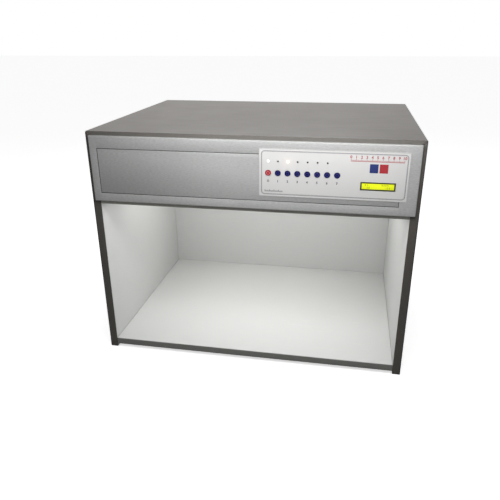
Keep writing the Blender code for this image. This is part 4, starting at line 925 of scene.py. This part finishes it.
def screws():
    """Pan-head screws with a cross recess and a ringed shank."""
    pitch = 0.0008
    for index in range(1, 7):
        name = f"panel_screw_{index}"
        low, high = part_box(name)
        under = high.y - 0.0022
        length = under - low.y
        outline = [(0.0, 0.0022), (0.0013, 0.00214), (0.0024, 0.0018), (0.0032, 0.0011), (0.0036, 0.0004),
                   (0.0036, 0.0), (0.0016, 0.0)]
        for ring in range(int((length - 0.0030) / pitch)):
            top = -pitch - ring * pitch
            outline += [(0.00128, top), (0.0016, top - pitch / 2)]
        head = lathe(outline + [(0.00128, -length + 0.0018), (0.0, -length)], 20)
        for x, y in ((0.0023, 0.00045), (0.00045, 0.0023)):
            head = carved(head, box((-x, -y, 0.0010), (x, y, 0.0040)))
        moved(head, (middle_of(name).x, under, middle_of(name).z), TO_REAR)
        piece(name + "_pan_head", (head, STEEL), nodes=[name], slot="bare_steel")


def rimmed(low, high, deep, corner, edge):
    """The flange of a fitting let into the rear panel: rounded corners and an eased rear rim."""
    flange = box((low.x, high.y - deep, low.z), high)
    soften(flange, deep_edges(flange, deep / 2), *corner)
    return soften(flange, behind(creases(flange), high.y - 0.0002), edge, 3)


def inlet():
    """Mains inlet: rounded flange, keyed recess, three pins and the pocket over it."""
    low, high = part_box("mains_inlet")
    x, z = middle_of("mains_inlet").x, middle_of("mains_inlet").z
    rear = high.y
    body = brick((low.x + 0.0018, low.y, low.z + 0.0020), (high.x - 0.0018, rear - 0.0012, high.z - 0.0020),
                 0.0004, 2)
    shell = carved(rimmed(low, high, 0.0030, (0.0030, 6), 0.0006), body, "UNION")
    recess = box(*around(x, z - 0.0095, 0.0120, 0.00825, rear - 0.0180, rear + 0.0100))
    keys = [e for e in deep_edges(recess, 0.010) if e.verts[0].co.z > z - 0.010]
    bmesh.ops.bevel(recess, geom=keys, offset=0.0042, segments=1, profile=0.5, affect="EDGES", material=-1)
    pocket = box(*around(x, z + 0.0125, 0.0117, 0.0046, rear - 0.0240, rear + 0.0100))
    shell = carved(shell, together([recess, pocket]))
    pins = [brick(*around(x + along * 0.0070, z - 0.0095 + lift * 0.0020, 0.0010, 0.0020, rear - 0.01795,
                          rear - 0.0040), 0.0005, 3) for along, lift in ((-1, -1), (0, 1), (1, -1))]
    piece("mains_inlet_socket", (shell, BLACK_PLASTIC_AND_PAINTED_SHADE), (pins, BRASS), nodes=["mains_inlet"], slot="black_plastic")


def drawer():
    """Fuse drawer with a finger hollow and three ridges."""
    low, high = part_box("fuse_drawer")
    x, z = middle_of("fuse_drawer").x, middle_of("fuse_drawer").z
    grip = brick(*around(x, z, 0.0050, 0.0015, high.y - 0.0008, high.y + 0.0020), 0.0005, 3)
    ridges = [brick(*around(x, z + lift * 0.0010, 0.0042, 0.00015, high.y - 0.00085, high.y - 0.00020), 0.0001, 1)
              for lift in (-1, 0, 1)]
    piece("fuse_drawer_front", (carved(brick(low, high, 0.0005, 3), grip), BLACK_PLASTIC_AND_PAINTED_SHADE), (ridges, BLACK_PLASTIC_AND_PAINTED_SHADE),
          body="fuse_drawer", nodes=["fuse_drawer"], slot="black_plastic")


def switch():
    """Rocker switch: a rimmed housing, and the rocker with its two printed marks."""
    low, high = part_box("mains_switch_housing")
    middle = middle_of("mains_switch_housing")
    body = brick((low.x + 0.0020, low.y, low.z + 0.0020), (high.x - 0.0020, high.y - 0.0008, high.z - 0.0020),
                 0.0003, 2)
    cavity = box((low.x + 0.0034, low.y + 0.0014, low.z + 0.0034),
                 (high.x - 0.0034, high.y + 0.0100, high.z - 0.0034))
    pivot = (middle.x, BOARD_FRONT + 0.5221, middle.z)
    holes = rod(0.00165, 0.0206, 24, (pivot[0] - 0.0103, pivot[1], pivot[2]), TO_RIGHT)
    shell = carved(rimmed(low, high, 0.0020, (0.0012, 4), 0.0005), body, "UNION")
    piece("mains_switch_rim", (carved(carved(shell, cavity), holes), BLACK_PLASTIC_AND_PAINTED_SHADE),
          nodes=["mains_switch_housing"], slot="black_plastic")
    reach, dip, rise = 0.0124, 0.0025, 0.0016
    outline = [(-reach, dip + rise), (0.0, dip), (reach, dip + rise), (reach, 0.0), (reach / 2, -0.0060),
               (-reach / 2, -0.0060), (-reach, 0.0)]
    bm = bmesh.new()
    bm.faces.new([bm.verts.new((-0.0090, y, z)) for z, y in outline])
    raised(bm, (0.0180, 0.0, 0.0))
    soften(bm, creases(bm, 10.0), 0.0005, 3)
    bm = carved(bm, rod(0.0015, 0.0200, 24, (-0.0100, 0.0, 0.0), TO_RIGHT), "UNION")
    lean = math.atan2(rise, reach)
    ring = moved(flat_ring(0.0021, 0.72, 3 * INK), (0.0, 0.0, 0.0), TO_REAR)
    moved(ring, (0.0, dip + rise * 0.5 - INK, -reach * 0.5), Matrix.Rotation(lean, 3, "X"))
    bar = box((-0.0003, -INK, -0.0021), (0.0003, 2 * INK, 0.0021))
    moved(bar, (0.0, dip + rise * 0.5, reach * 0.5), Matrix.Rotation(-lean, 3, "X"))
    tilt = Matrix.Rotation(math.radians(7.0), 3, "X")
    piece("mains_switch_paddle", (moved(bm, pivot, tilt), RED_CAP),
          (moved(together([ring, bar]), pivot, tilt), WHITE_INK_AND_PAINTED_GLOW),
          body="mains_switch_rocker", nodes=["mains_switch_rocker"], slot="button_red")


# ---------------------------------------------------------------- lamps and their fittings
def tubes():
    """Two-pin tubes: glass, rolled aluminium caps, end discs and pins."""
    end = [(0.0, 0.0), (0.0090, 0.0), (0.0113, -0.0010), (0.0122, -0.0035)]
    cap = [(0.0, -0.0012), (0.0098, -0.0012), (0.0101, -0.0002), (0.0112, 0.0), (0.0124, -0.0004), (0.0130, -0.0012),
           (0.0130, -0.0074), (0.01275, -0.0079), (0.0130, -0.0084), (0.0130, -0.0096), (0.0127, -0.0100),
           (0.01225, -0.0100), (0.01225, -0.0086), (0.0, -0.0086)]
    disc = [(0.0, -0.0004), (0.0092, -0.0004), (0.0096, -0.0008), (0.0096, -0.0011), (0.0, -0.0011)]
    pin = [(0.0, 0.0070), (0.0006, 0.00695), (0.0010, 0.0067), (0.0012, 0.0062), (0.0012, 0.0002), (0.0016, 0.0),
           (0.0016, -0.00035), (0.0, -0.00035)]
    pin_offset = 0.00635
    for index in range(1, TUBES + 1):
        name = f"lamp_tube_{index}"
        high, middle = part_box(name)[1], middle_of(name)
        half = high.x - middle.x - 0.0070
        glass_half = half - 0.0088
        glass = lathe([(r, glass_half + h) for r, h in end] + [(r, -glass_half - h) for r, h in reversed(end)], 32)
        moved(glass, middle, TO_RIGHT)
        shells, discs, pins = [], [], []
        for side, turn in ((1, TO_RIGHT), (-1, TO_LEFT)):
            x = side * half
            shells.append(moved(lathe(cap, 40), (x, middle.y, middle.z), turn))
            discs.append(moved(lathe(disc, 32), (x, middle.y, middle.z), turn))
            pins += [moved(lathe(pin, 16), (x, middle.y + offset, middle.z), turn)
                     for offset in (-pin_offset, pin_offset)]
        dark = index == TUBES
        piece(name + "_glass", (glass, DARK_GLASS if dark else PHOSPHOR), (shells, ALUMINIUM), (discs, PORCELAIN),
              (pins, BRASS), body=name, nodes=[name], slot="dark_lamp_glass" if dark else "lamp_glass")


def filament_bulbs():
    """Screw-cap lamps and their sockets."""
    radius = 0.030
    globe = [(radius * math.sin(math.radians(a)), radius * math.cos(math.radians(a))) for a in range(0, 141, 10)]
    globe += [(0.0168, -0.0285), (0.0152, -0.0340), (0.0142, -0.0440), (0.0128, -0.0490), (0.0, -0.0490)]
    cap = [(0.0, -0.0492), (0.0128, -0.0492), (0.0132, -0.0500)]
    for ring in range(5):
        top = -0.0520 - ring * 0.0034
        cap += [(0.0122, top), (0.0132, top - 0.0017)]
    cap += [(0.0118, -0.0692), (0.0, -0.0692)]
    foot = [(0.0, -0.0694), (0.0112, -0.0694), (0.0088, -0.0716), (0.0, -0.0716)]
    tip = [(0.0, -0.0717), (0.0048, -0.0717), (0.0046, -0.0732), (0.0030, -0.0739), (0.0, -0.0740)]
    cup = [(0.0, -0.0260), (0.0136, -0.0260), (0.0136, -0.0008), (0.0142, 0.0), (0.0176, 0.0), (0.0187, -0.0006),
           (0.0190, -0.0016), (0.0190, -0.0120), (0.0184, -0.0126), (0.0184, -0.0150), (0.0190, -0.0156),
           (0.0190, -0.0330), (0.0178, -0.0350), (0.0160, -0.0450), (0.0, -0.0450)]
    for word, side, turn in FITTINGS:
        lamp = f"{word}_filament_lamp"
        low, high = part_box(lamp)
        place = ((high.x - radius) if side < 0 else (low.x + radius), middle_of(lamp).y, middle_of(lamp).z)
        piece(f"{word}_bulb_globe", *[(moved(lathe(outline, steps), place, turn), look) for outline, steps, look in
                                      ((globe, 48, BULB_GLASS), (cap, 40, BRASS), (foot, 32, BLACK_PLASTIC_AND_PAINTED_SHADE),
                                       (tip, 24, STEEL))],
              nodes=[lamp], slot="lamp_glass")
        first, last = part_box(f"{word}_lamp_socket")
        mouth = last.x if side < 0 else first.x
        piece(f"{word}_socket_shell", (moved(lathe(cup, 48), (mouth, place[1], place[2]), turn), PORCELAIN),
              nodes=[f"{word}_lamp_socket"], slot="lampholder")


def holder_rails():
    """Strip with a turning holder at every tube end."""
    groove = [(0.00455, 0.0040), (0.00815, 0.0040), (0.00815, -0.0080), (0.00455, -0.0080), (0.00455, 0.0040)]
    boss = [(0.0, 0.0003), (0.0030, 0.0003), (0.0034, 0.0), (0.0034, -0.0004), (0.0, -0.0004)]
    for word, side, turn in FITTINGS:
        low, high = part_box(f"{word}_lampholder_rail")
        outer, inner = (low.x, high.x) if side < 0 else (high.x, low.x)
        near, far = sorted((outer, outer - side * 0.0100))
        parts, rotors = [brick((near, low.y, low.z), (far, high.y, high.z), 0.0010, 3)], []
        near, far = sorted((outer - side * 0.0101, inner))
        for index in range(1, TUBES + 1):
            y, z = middle_of(f"lamp_tube_{index}").y, middle_of(f"lamp_tube_{index}").z
            body = brick((near, y - 0.0117, z - 0.0167), (far, y + 0.0117, z + 0.0167), 0.0018, 4)
            parts.append(carved(body, moved(lathe(groove, 40), (inner, y, z), turn)))
            rotors.append(moved(lathe(boss, 24), (inner + side * 0.0001, y, z), turn))
        piece(f"{word}_holder_strip", (parts, PORCELAIN), (rotors, WHITE_SHEET),
              nodes=[f"{word}_lampholder_rail"], slot="lampholder")


def reflector():
    """White tray with folded corners and a flange on the ceiling board."""
    low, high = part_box("reflector_tray")
    middle = (low + high) / 2
    half_x, half_y, tall, sheet = 0.3178, 0.1760, high.z - low.z, 0.0012

    def tapered(grow, drop, floor):
        bm = box((-half_x - grow, -half_y - grow, floor), (half_x + grow, half_y + grow, tall - drop))
        roof = [v for v in bm.verts if v.co.z > tall / 2]
        bmesh.ops.scale(bm, vec=(1.0, 0.90, 1.0), verts=roof)
        return bm

    outside = tapered(sheet, 0.0, 0.0)
    soften(outside, [e for e in creases(outside) if max(v.co.z for v in e.verts) > tall / 2], 0.0030, 4)
    flange = box((low.x, low.y - middle.y, 0.0), (high.x, high.y - middle.y, sheet))
    shell = carved(carved(outside, flange, "UNION"), tapered(0.0, sheet, -0.0100))
    piece("reflector_sheet", (moved(shell, (middle.x, middle.y, low.z)), WHITE_SHEET), nodes=["reflector_tray"],
          slot="white_sheet")


def ballast_cases():
    """Steel cases with end terminals and slotted feet."""
    for index in range(1, 4):
        name = f"ballast_{index}"
        (low, high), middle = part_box(name), middle_of(name)
        parts = [brick((low.x + 0.0120, low.y, low.z), (high.x - 0.0120, high.y, high.z), 0.0012, 3)]
        blocks = []
        for side in (-1, 1):
            half = (high.x - low.x) / 2
            near, far = sorted((middle.x + side * (half - 0.0119), middle.x + side * half))
            foot = box((near, low.y + 0.0015, low.z + 0.0003), (far, high.y - 0.0015, low.z + 0.0018))
            parts.append(carved(foot, rod(0.0022, 0.0080, 20, ((near + far) / 2, middle.y, low.z - 0.003))))
            inner = near if side > 0 else far
            near, far = sorted((inner, inner + side * 0.0090))
            for step in range(1, 5):
                y = low.y + step * 0.0080
                blocks.append(brick((near + 0.0001, y - 0.0034, low.z + 0.0060), (far, y + 0.0034, low.z + 0.0160),
                                    0.0006, 2))
        piece(name + "_case", (parts, DARK_SHEET), (blocks, PORCELAIN), nodes=[name], slot="dark_sheet")


def terminals():
    """Block of screw terminals with a screw in every well."""
    low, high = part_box("terminal_block")
    middle = middle_of("terminal_block")
    wells, heads = [], []
    for index in range(8):
        x = middle.x + (index - 3.5) * 0.0100
        wells.append(rod(0.0028, 0.0200, 24, (x, middle.y, high.z - 0.0070)))
        head = lathe([(0.0, 0.0010), (0.0020, 0.0010), (0.0024, 0.0006), (0.0024, 0.0), (0.0, 0.0)], 24)
        slot = box((-0.0030, -0.0003, 0.0005), (0.0030, 0.0003, 0.0020))
        heads.append(moved(carved(head, slot), (x, middle.y, high.z - 0.00695)))
        for y in (middle.y - 0.0110, middle.y + 0.0110):
            wells.append(box((x - 0.0025, y - 0.0030, low.z + 0.0040), (x + 0.0025, y + 0.0030, low.z + 0.0090)))
    shell = carved(brick(low, high, 0.0008, 3), together(wells))
    piece("terminal_strip", (shell, PORCELAIN), (heads, BRASS), nodes=["terminal_block"], slot="lampholder")


def brackets():
    """Folded angles with two holes in each leg."""
    for word, side, _ in FITTINGS:
        low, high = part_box(f"{word}_fascia_bracket")
        corner, free = (low.x, high.x) if side < 0 else (high.x, low.x)
        wall = corner - side * SHEET
        outline = [(corner, low.y), (free, low.y), (free, low.y + SHEET), (wall, low.y + SHEET), (wall, high.y),
                   (corner, high.y)]
        angle = bmesh.new()
        angle.faces.new([angle.verts.new((x, y, low.z)) for x, y in outline])
        raised(angle, (0.0, 0.0, high.z - low.z), keep=True)
        fold = [e for e in before(creases(angle), low.y + 0.0001)
                if all(abs(v.co.x - corner) < 0.0001 for v in e.verts)]
        soften(angle, fold, 0.0014, 4)
        x, y = (low.x + high.x) / 2 - side * 0.004, (low.y + high.y) / 2 + 0.002
        holes = []
        for share in (0.25, 0.75):
            z = low.z + (high.z - low.z) * share
            holes += [rod(0.0021, 0.0100, 20, (x, low.y - 0.004, z), TO_REAR),
                      rod(0.0021, 0.0100, 20, (wall - 0.005, y, z), TO_RIGHT)]
        piece(f"{word}_bracket_angle", (carved(angle, together(holes)), STEEL),
              nodes=[f"{word}_fascia_bracket"], slot="bare_steel")


def batten():
    """Timber strip with the holes of the upper panel screws."""
    low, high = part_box("rear_batten")
    screws_here = [middle_of(f"panel_screw_{i}") for i in (4, 5, 6)]
    holes = [rod(0.0019, 0.0200, 20, (place.x, high.y - 0.0150, place.z), TO_REAR) for place in screws_here]
    piece("pine_batten_strip", (carved(brick(low, high, 0.0012, 3), together(holes)), TIMBER),
          nodes=["rear_batten"], slot="batten_wood")


# ---------------------------------------------------------------- circuit boards
def laminate_sheet(low, high, corner, segments, hole, reach):
    """A board with rounded corners and a hole near each; hole is its rod's radius, length and centre."""
    sheet = box(low, high)
    soften(sheet, deep_edges(sheet, 0.001), corner, segments)
    radius, length, (x, y, z) = hole
    holes = [rod(radius, length, 20, (x + i * reach[0], y, z + j * reach[1]), TO_REAR)
             for i in (-1, 1) for j in (-1, 1)]
    return carved(sheet, together(holes))


def boards_behind_panel():
    """Control board with its switches, relays and connector, and the display's board."""
    low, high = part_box("control_board")
    centre = (middle_of("power_button").x + middle_of(f"source_button_{SOURCES}").x) / 2
    front = low.y + 0.0050
    rear = front + 0.0016
    z = (low.z + high.z) / 2
    base = laminate_sheet((low.x, front, low.z), (high.x, rear, high.z), 0.0020, 4,
                          (0.0017, 0.0080, (centre, front - 0.003, z)), (0.0750, 0.0260))
    buttons = [middle_of(name) for name in button_names()]
    switches = [brick(*around(b.x, b.z, 0.0030, 0.0030, front - 0.0035, front - 0.0001), 0.0003, 2) for b in buttons]
    plungers = [rod(0.0017, 0.0014, 24, (b.x, front - 0.0036, b.z), TO_FRONT) for b in buttons]
    relays = [brick(*around(centre + (i - 2.5) * 0.0203, z + 0.0120, 0.0075, 0.0095, rear + 0.0001, rear + 0.0160),
                    0.0006, 3) for i in range(6)]
    plug = brick(*around(centre, z - 0.0200, 0.0350, 0.0050, rear + 0.0001, rear + 0.0090), 0.0005, 2)
    pins = [brick(*around(centre - 0.0319 + i * 0.0058, z - 0.0200, 0.0005, 0.0005, rear + 0.0091, rear + 0.0110),
                  0.0001, 1) for i in range(12)]
    piece("control_circuit", (base, CIRCUIT), (switches, BLACK_PLASTIC_AND_PAINTED_SHADE), (plungers, WHITE_SHEET),
          (relays, BLACK_PLASTIC_AND_PAINTED_SHADE), (plug, PORCELAIN), (pins, BRASS), nodes=["control_board"], slot="circuit")
    low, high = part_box("display_module")
    middle = middle_of("display_module")
    behind_it = high.y + 0.00005
    base = laminate_sheet(low, high, 0.0010, 3, (0.0013, 0.0060, (middle.x, low.y - 0.002, middle.z)),
                          (0.0375, 0.0155))
    header = [rod(0.0004, 0.0030, 8, (low.x + 0.0100 + i * 0.00254, behind_it, high.z - 0.0025), TO_REAR)
              for i in range(16)]
    blob = [(0.0, 0.0014), (0.0050, 0.0013), (0.0072, 0.0008), (0.0080, 0.0), (0.0, 0.0)]
    chips = [moved(lathe(blob, 32), (middle.x + side * 0.0160, behind_it, middle.z - 0.003), TO_REAR)
             for side in (-1, 1)]
    piece("display_circuit", (base, CIRCUIT), (header, BRASS), (chips, BLACK_PLASTIC_AND_PAINTED_SHADE), nodes=["display_module"],
          slot="circuit")


# ---------------------------------------------------------------- floor, light and camera
def stage():
    """White floor and surround, plainly white to the camera and greyer as a source of light."""
    bm = bmesh.new()
    bmesh.ops.create_grid(bm, x_segments=1, y_segments=1, size=15.0)
    floor = placed("studio_floor", mesh_of(moved(bm, (0.0, 0.0, -0.0004))))
    made, tree, shader = new_finish("white_studio_floor")
    cloud = effect(tree, GRAIN, scale=2.0, detail=2.0, contrast=1.0)
    seen = node(tree, "LightPath").outputs["Is Camera Ray"]
    pale = mixed(tree, cloud, rgb(0.92, 0.92, 0.92), rgb(0.95, 0.95, 0.95))
    feed(tree, shader.inputs["Base Color"], mixed(tree, seen, rgb(0.36, 0.36, 0.36), pale))
    shader.inputs["Roughness"].default_value = 0.9
    shader.inputs["Emission Color"].default_value = rgb(1.0, 1.0, 1.0)
    feed(tree, shader.inputs["Emission Strength"], spread(tree, seen, 0.0, 0.62))
    floor.data.materials.append(made)
    floor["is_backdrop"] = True
    world = bpy.data.worlds.new("studio")
    bpy.context.scene.world = world
    world.use_nodes = True
    background = world.node_tree.nodes["Background"]
    seen = node(world.node_tree, "LightPath").outputs["Is Camera Ray"]
    background.inputs["Color"].default_value = rgb(1.0, 1.0, 1.0)
    feed(world.node_tree, background.inputs["Strength"], spread(world.node_tree, seen, 0.36, 1.0))


def area_light(name, place, aim, size, power):
    """A rectangular light that the camera doesn't see, aimed at a point."""
    data = bpy.data.lights.new(name, "AREA")
    data.shape = "RECTANGLE"
    data.size, data.size_y = size
    data.energy = power
    lamp = placed(name, data)
    lamp.location = place
    lamp.rotation_euler = (Vector(aim) - Vector(place)).to_track_quat("-Z", "Y").to_euler()
    lamp.visible_camera = False
    return lamp


def lights():
    """Two soft studio lights, a strip on the front plate, the chamber's front and the warm indicator's spill."""
    strip = area_light("front_strip", (0.09, -0.46, 0.66), (0.09, -0.27, 0.49), (0.60, 0.12), 1.55)
    shaded = bpy.data.collections.new("not_lit_by_front_strip")
    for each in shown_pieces():
        if each.name == "top_board_laminated":
            shaded.objects.link(each)
    strip.light_linking.receiver_collection = shaded
    for entry in shaded.collection_objects:
        entry.light_linking.link_state = "EXCLUDE"
    area_light("back_key", (-0.20, 0.95, 1.60), (0.0, 0.10, 0.54), (1.30, 0.80), 10.2)
    area_light("soft_front", (1.0, -1.4, 2.3), (0.0, 0.0, 0.3), (1.8, 1.8), 8.0)
    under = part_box("ceiling_board")[0].z - 0.003
    area_light("chamber_front", (0.0, -0.232, under), (0.0, -0.231, 0.0), (0.64, 0.05), 0.17)
    spill = bpy.data.lights.new("indicator_spill", "POINT")
    spill.energy, spill.color, spill.shadow_soft_size = 0.0008, (1.0, 0.72, 0.46), 0.001
    lamp = placed("indicator_spill", spill)
    lamp.location = middle_of("indicator_3")
    lamp.location.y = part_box("indicator_3")[0].y - 0.0035
    lamp.visible_camera = False


def camera():
    data = bpy.data.cameras.new("viewpoint")
    data.lens = 38.13
    data.sensor_width = 36.0
    data.dof.use_dof = False
    data.clip_start, data.clip_end = 0.05, 60.0
    eye = placed("viewpoint", data)
    turn, tilt, lean = math.radians(10.809), math.radians(22.675), math.radians(-0.414)
    ahead = Vector((-math.sin(turn) * math.cos(tilt), math.cos(turn) * math.cos(tilt), -math.sin(tilt)))
    right = Vector((math.cos(turn), math.sin(turn), 0.0))
    up = right.cross(ahead)
    across = right * math.cos(lean) + up * math.sin(lean)
    upward = up * math.cos(lean) - right * math.sin(lean)
    stance = Matrix((across, upward, -ahead)).transposed().to_4x4()
    stance.translation = (0.20773, -1.32842, 0.74004)
    eye.matrix_world = stance
    bpy.context.scene.camera = eye
    bpy.context.scene.view_settings.view_transform = "Standard"


for step in (boards, ceiling, front_plate, film, caps, lenses, readout, printing, service_panel, screws, inlet, drawer,
             switch, tubes, filament_bulbs, holder_rails, reflector, ballast_cases, terminals, brackets, batten,
             boards_behind_panel, stage, lights, camera):
    step()
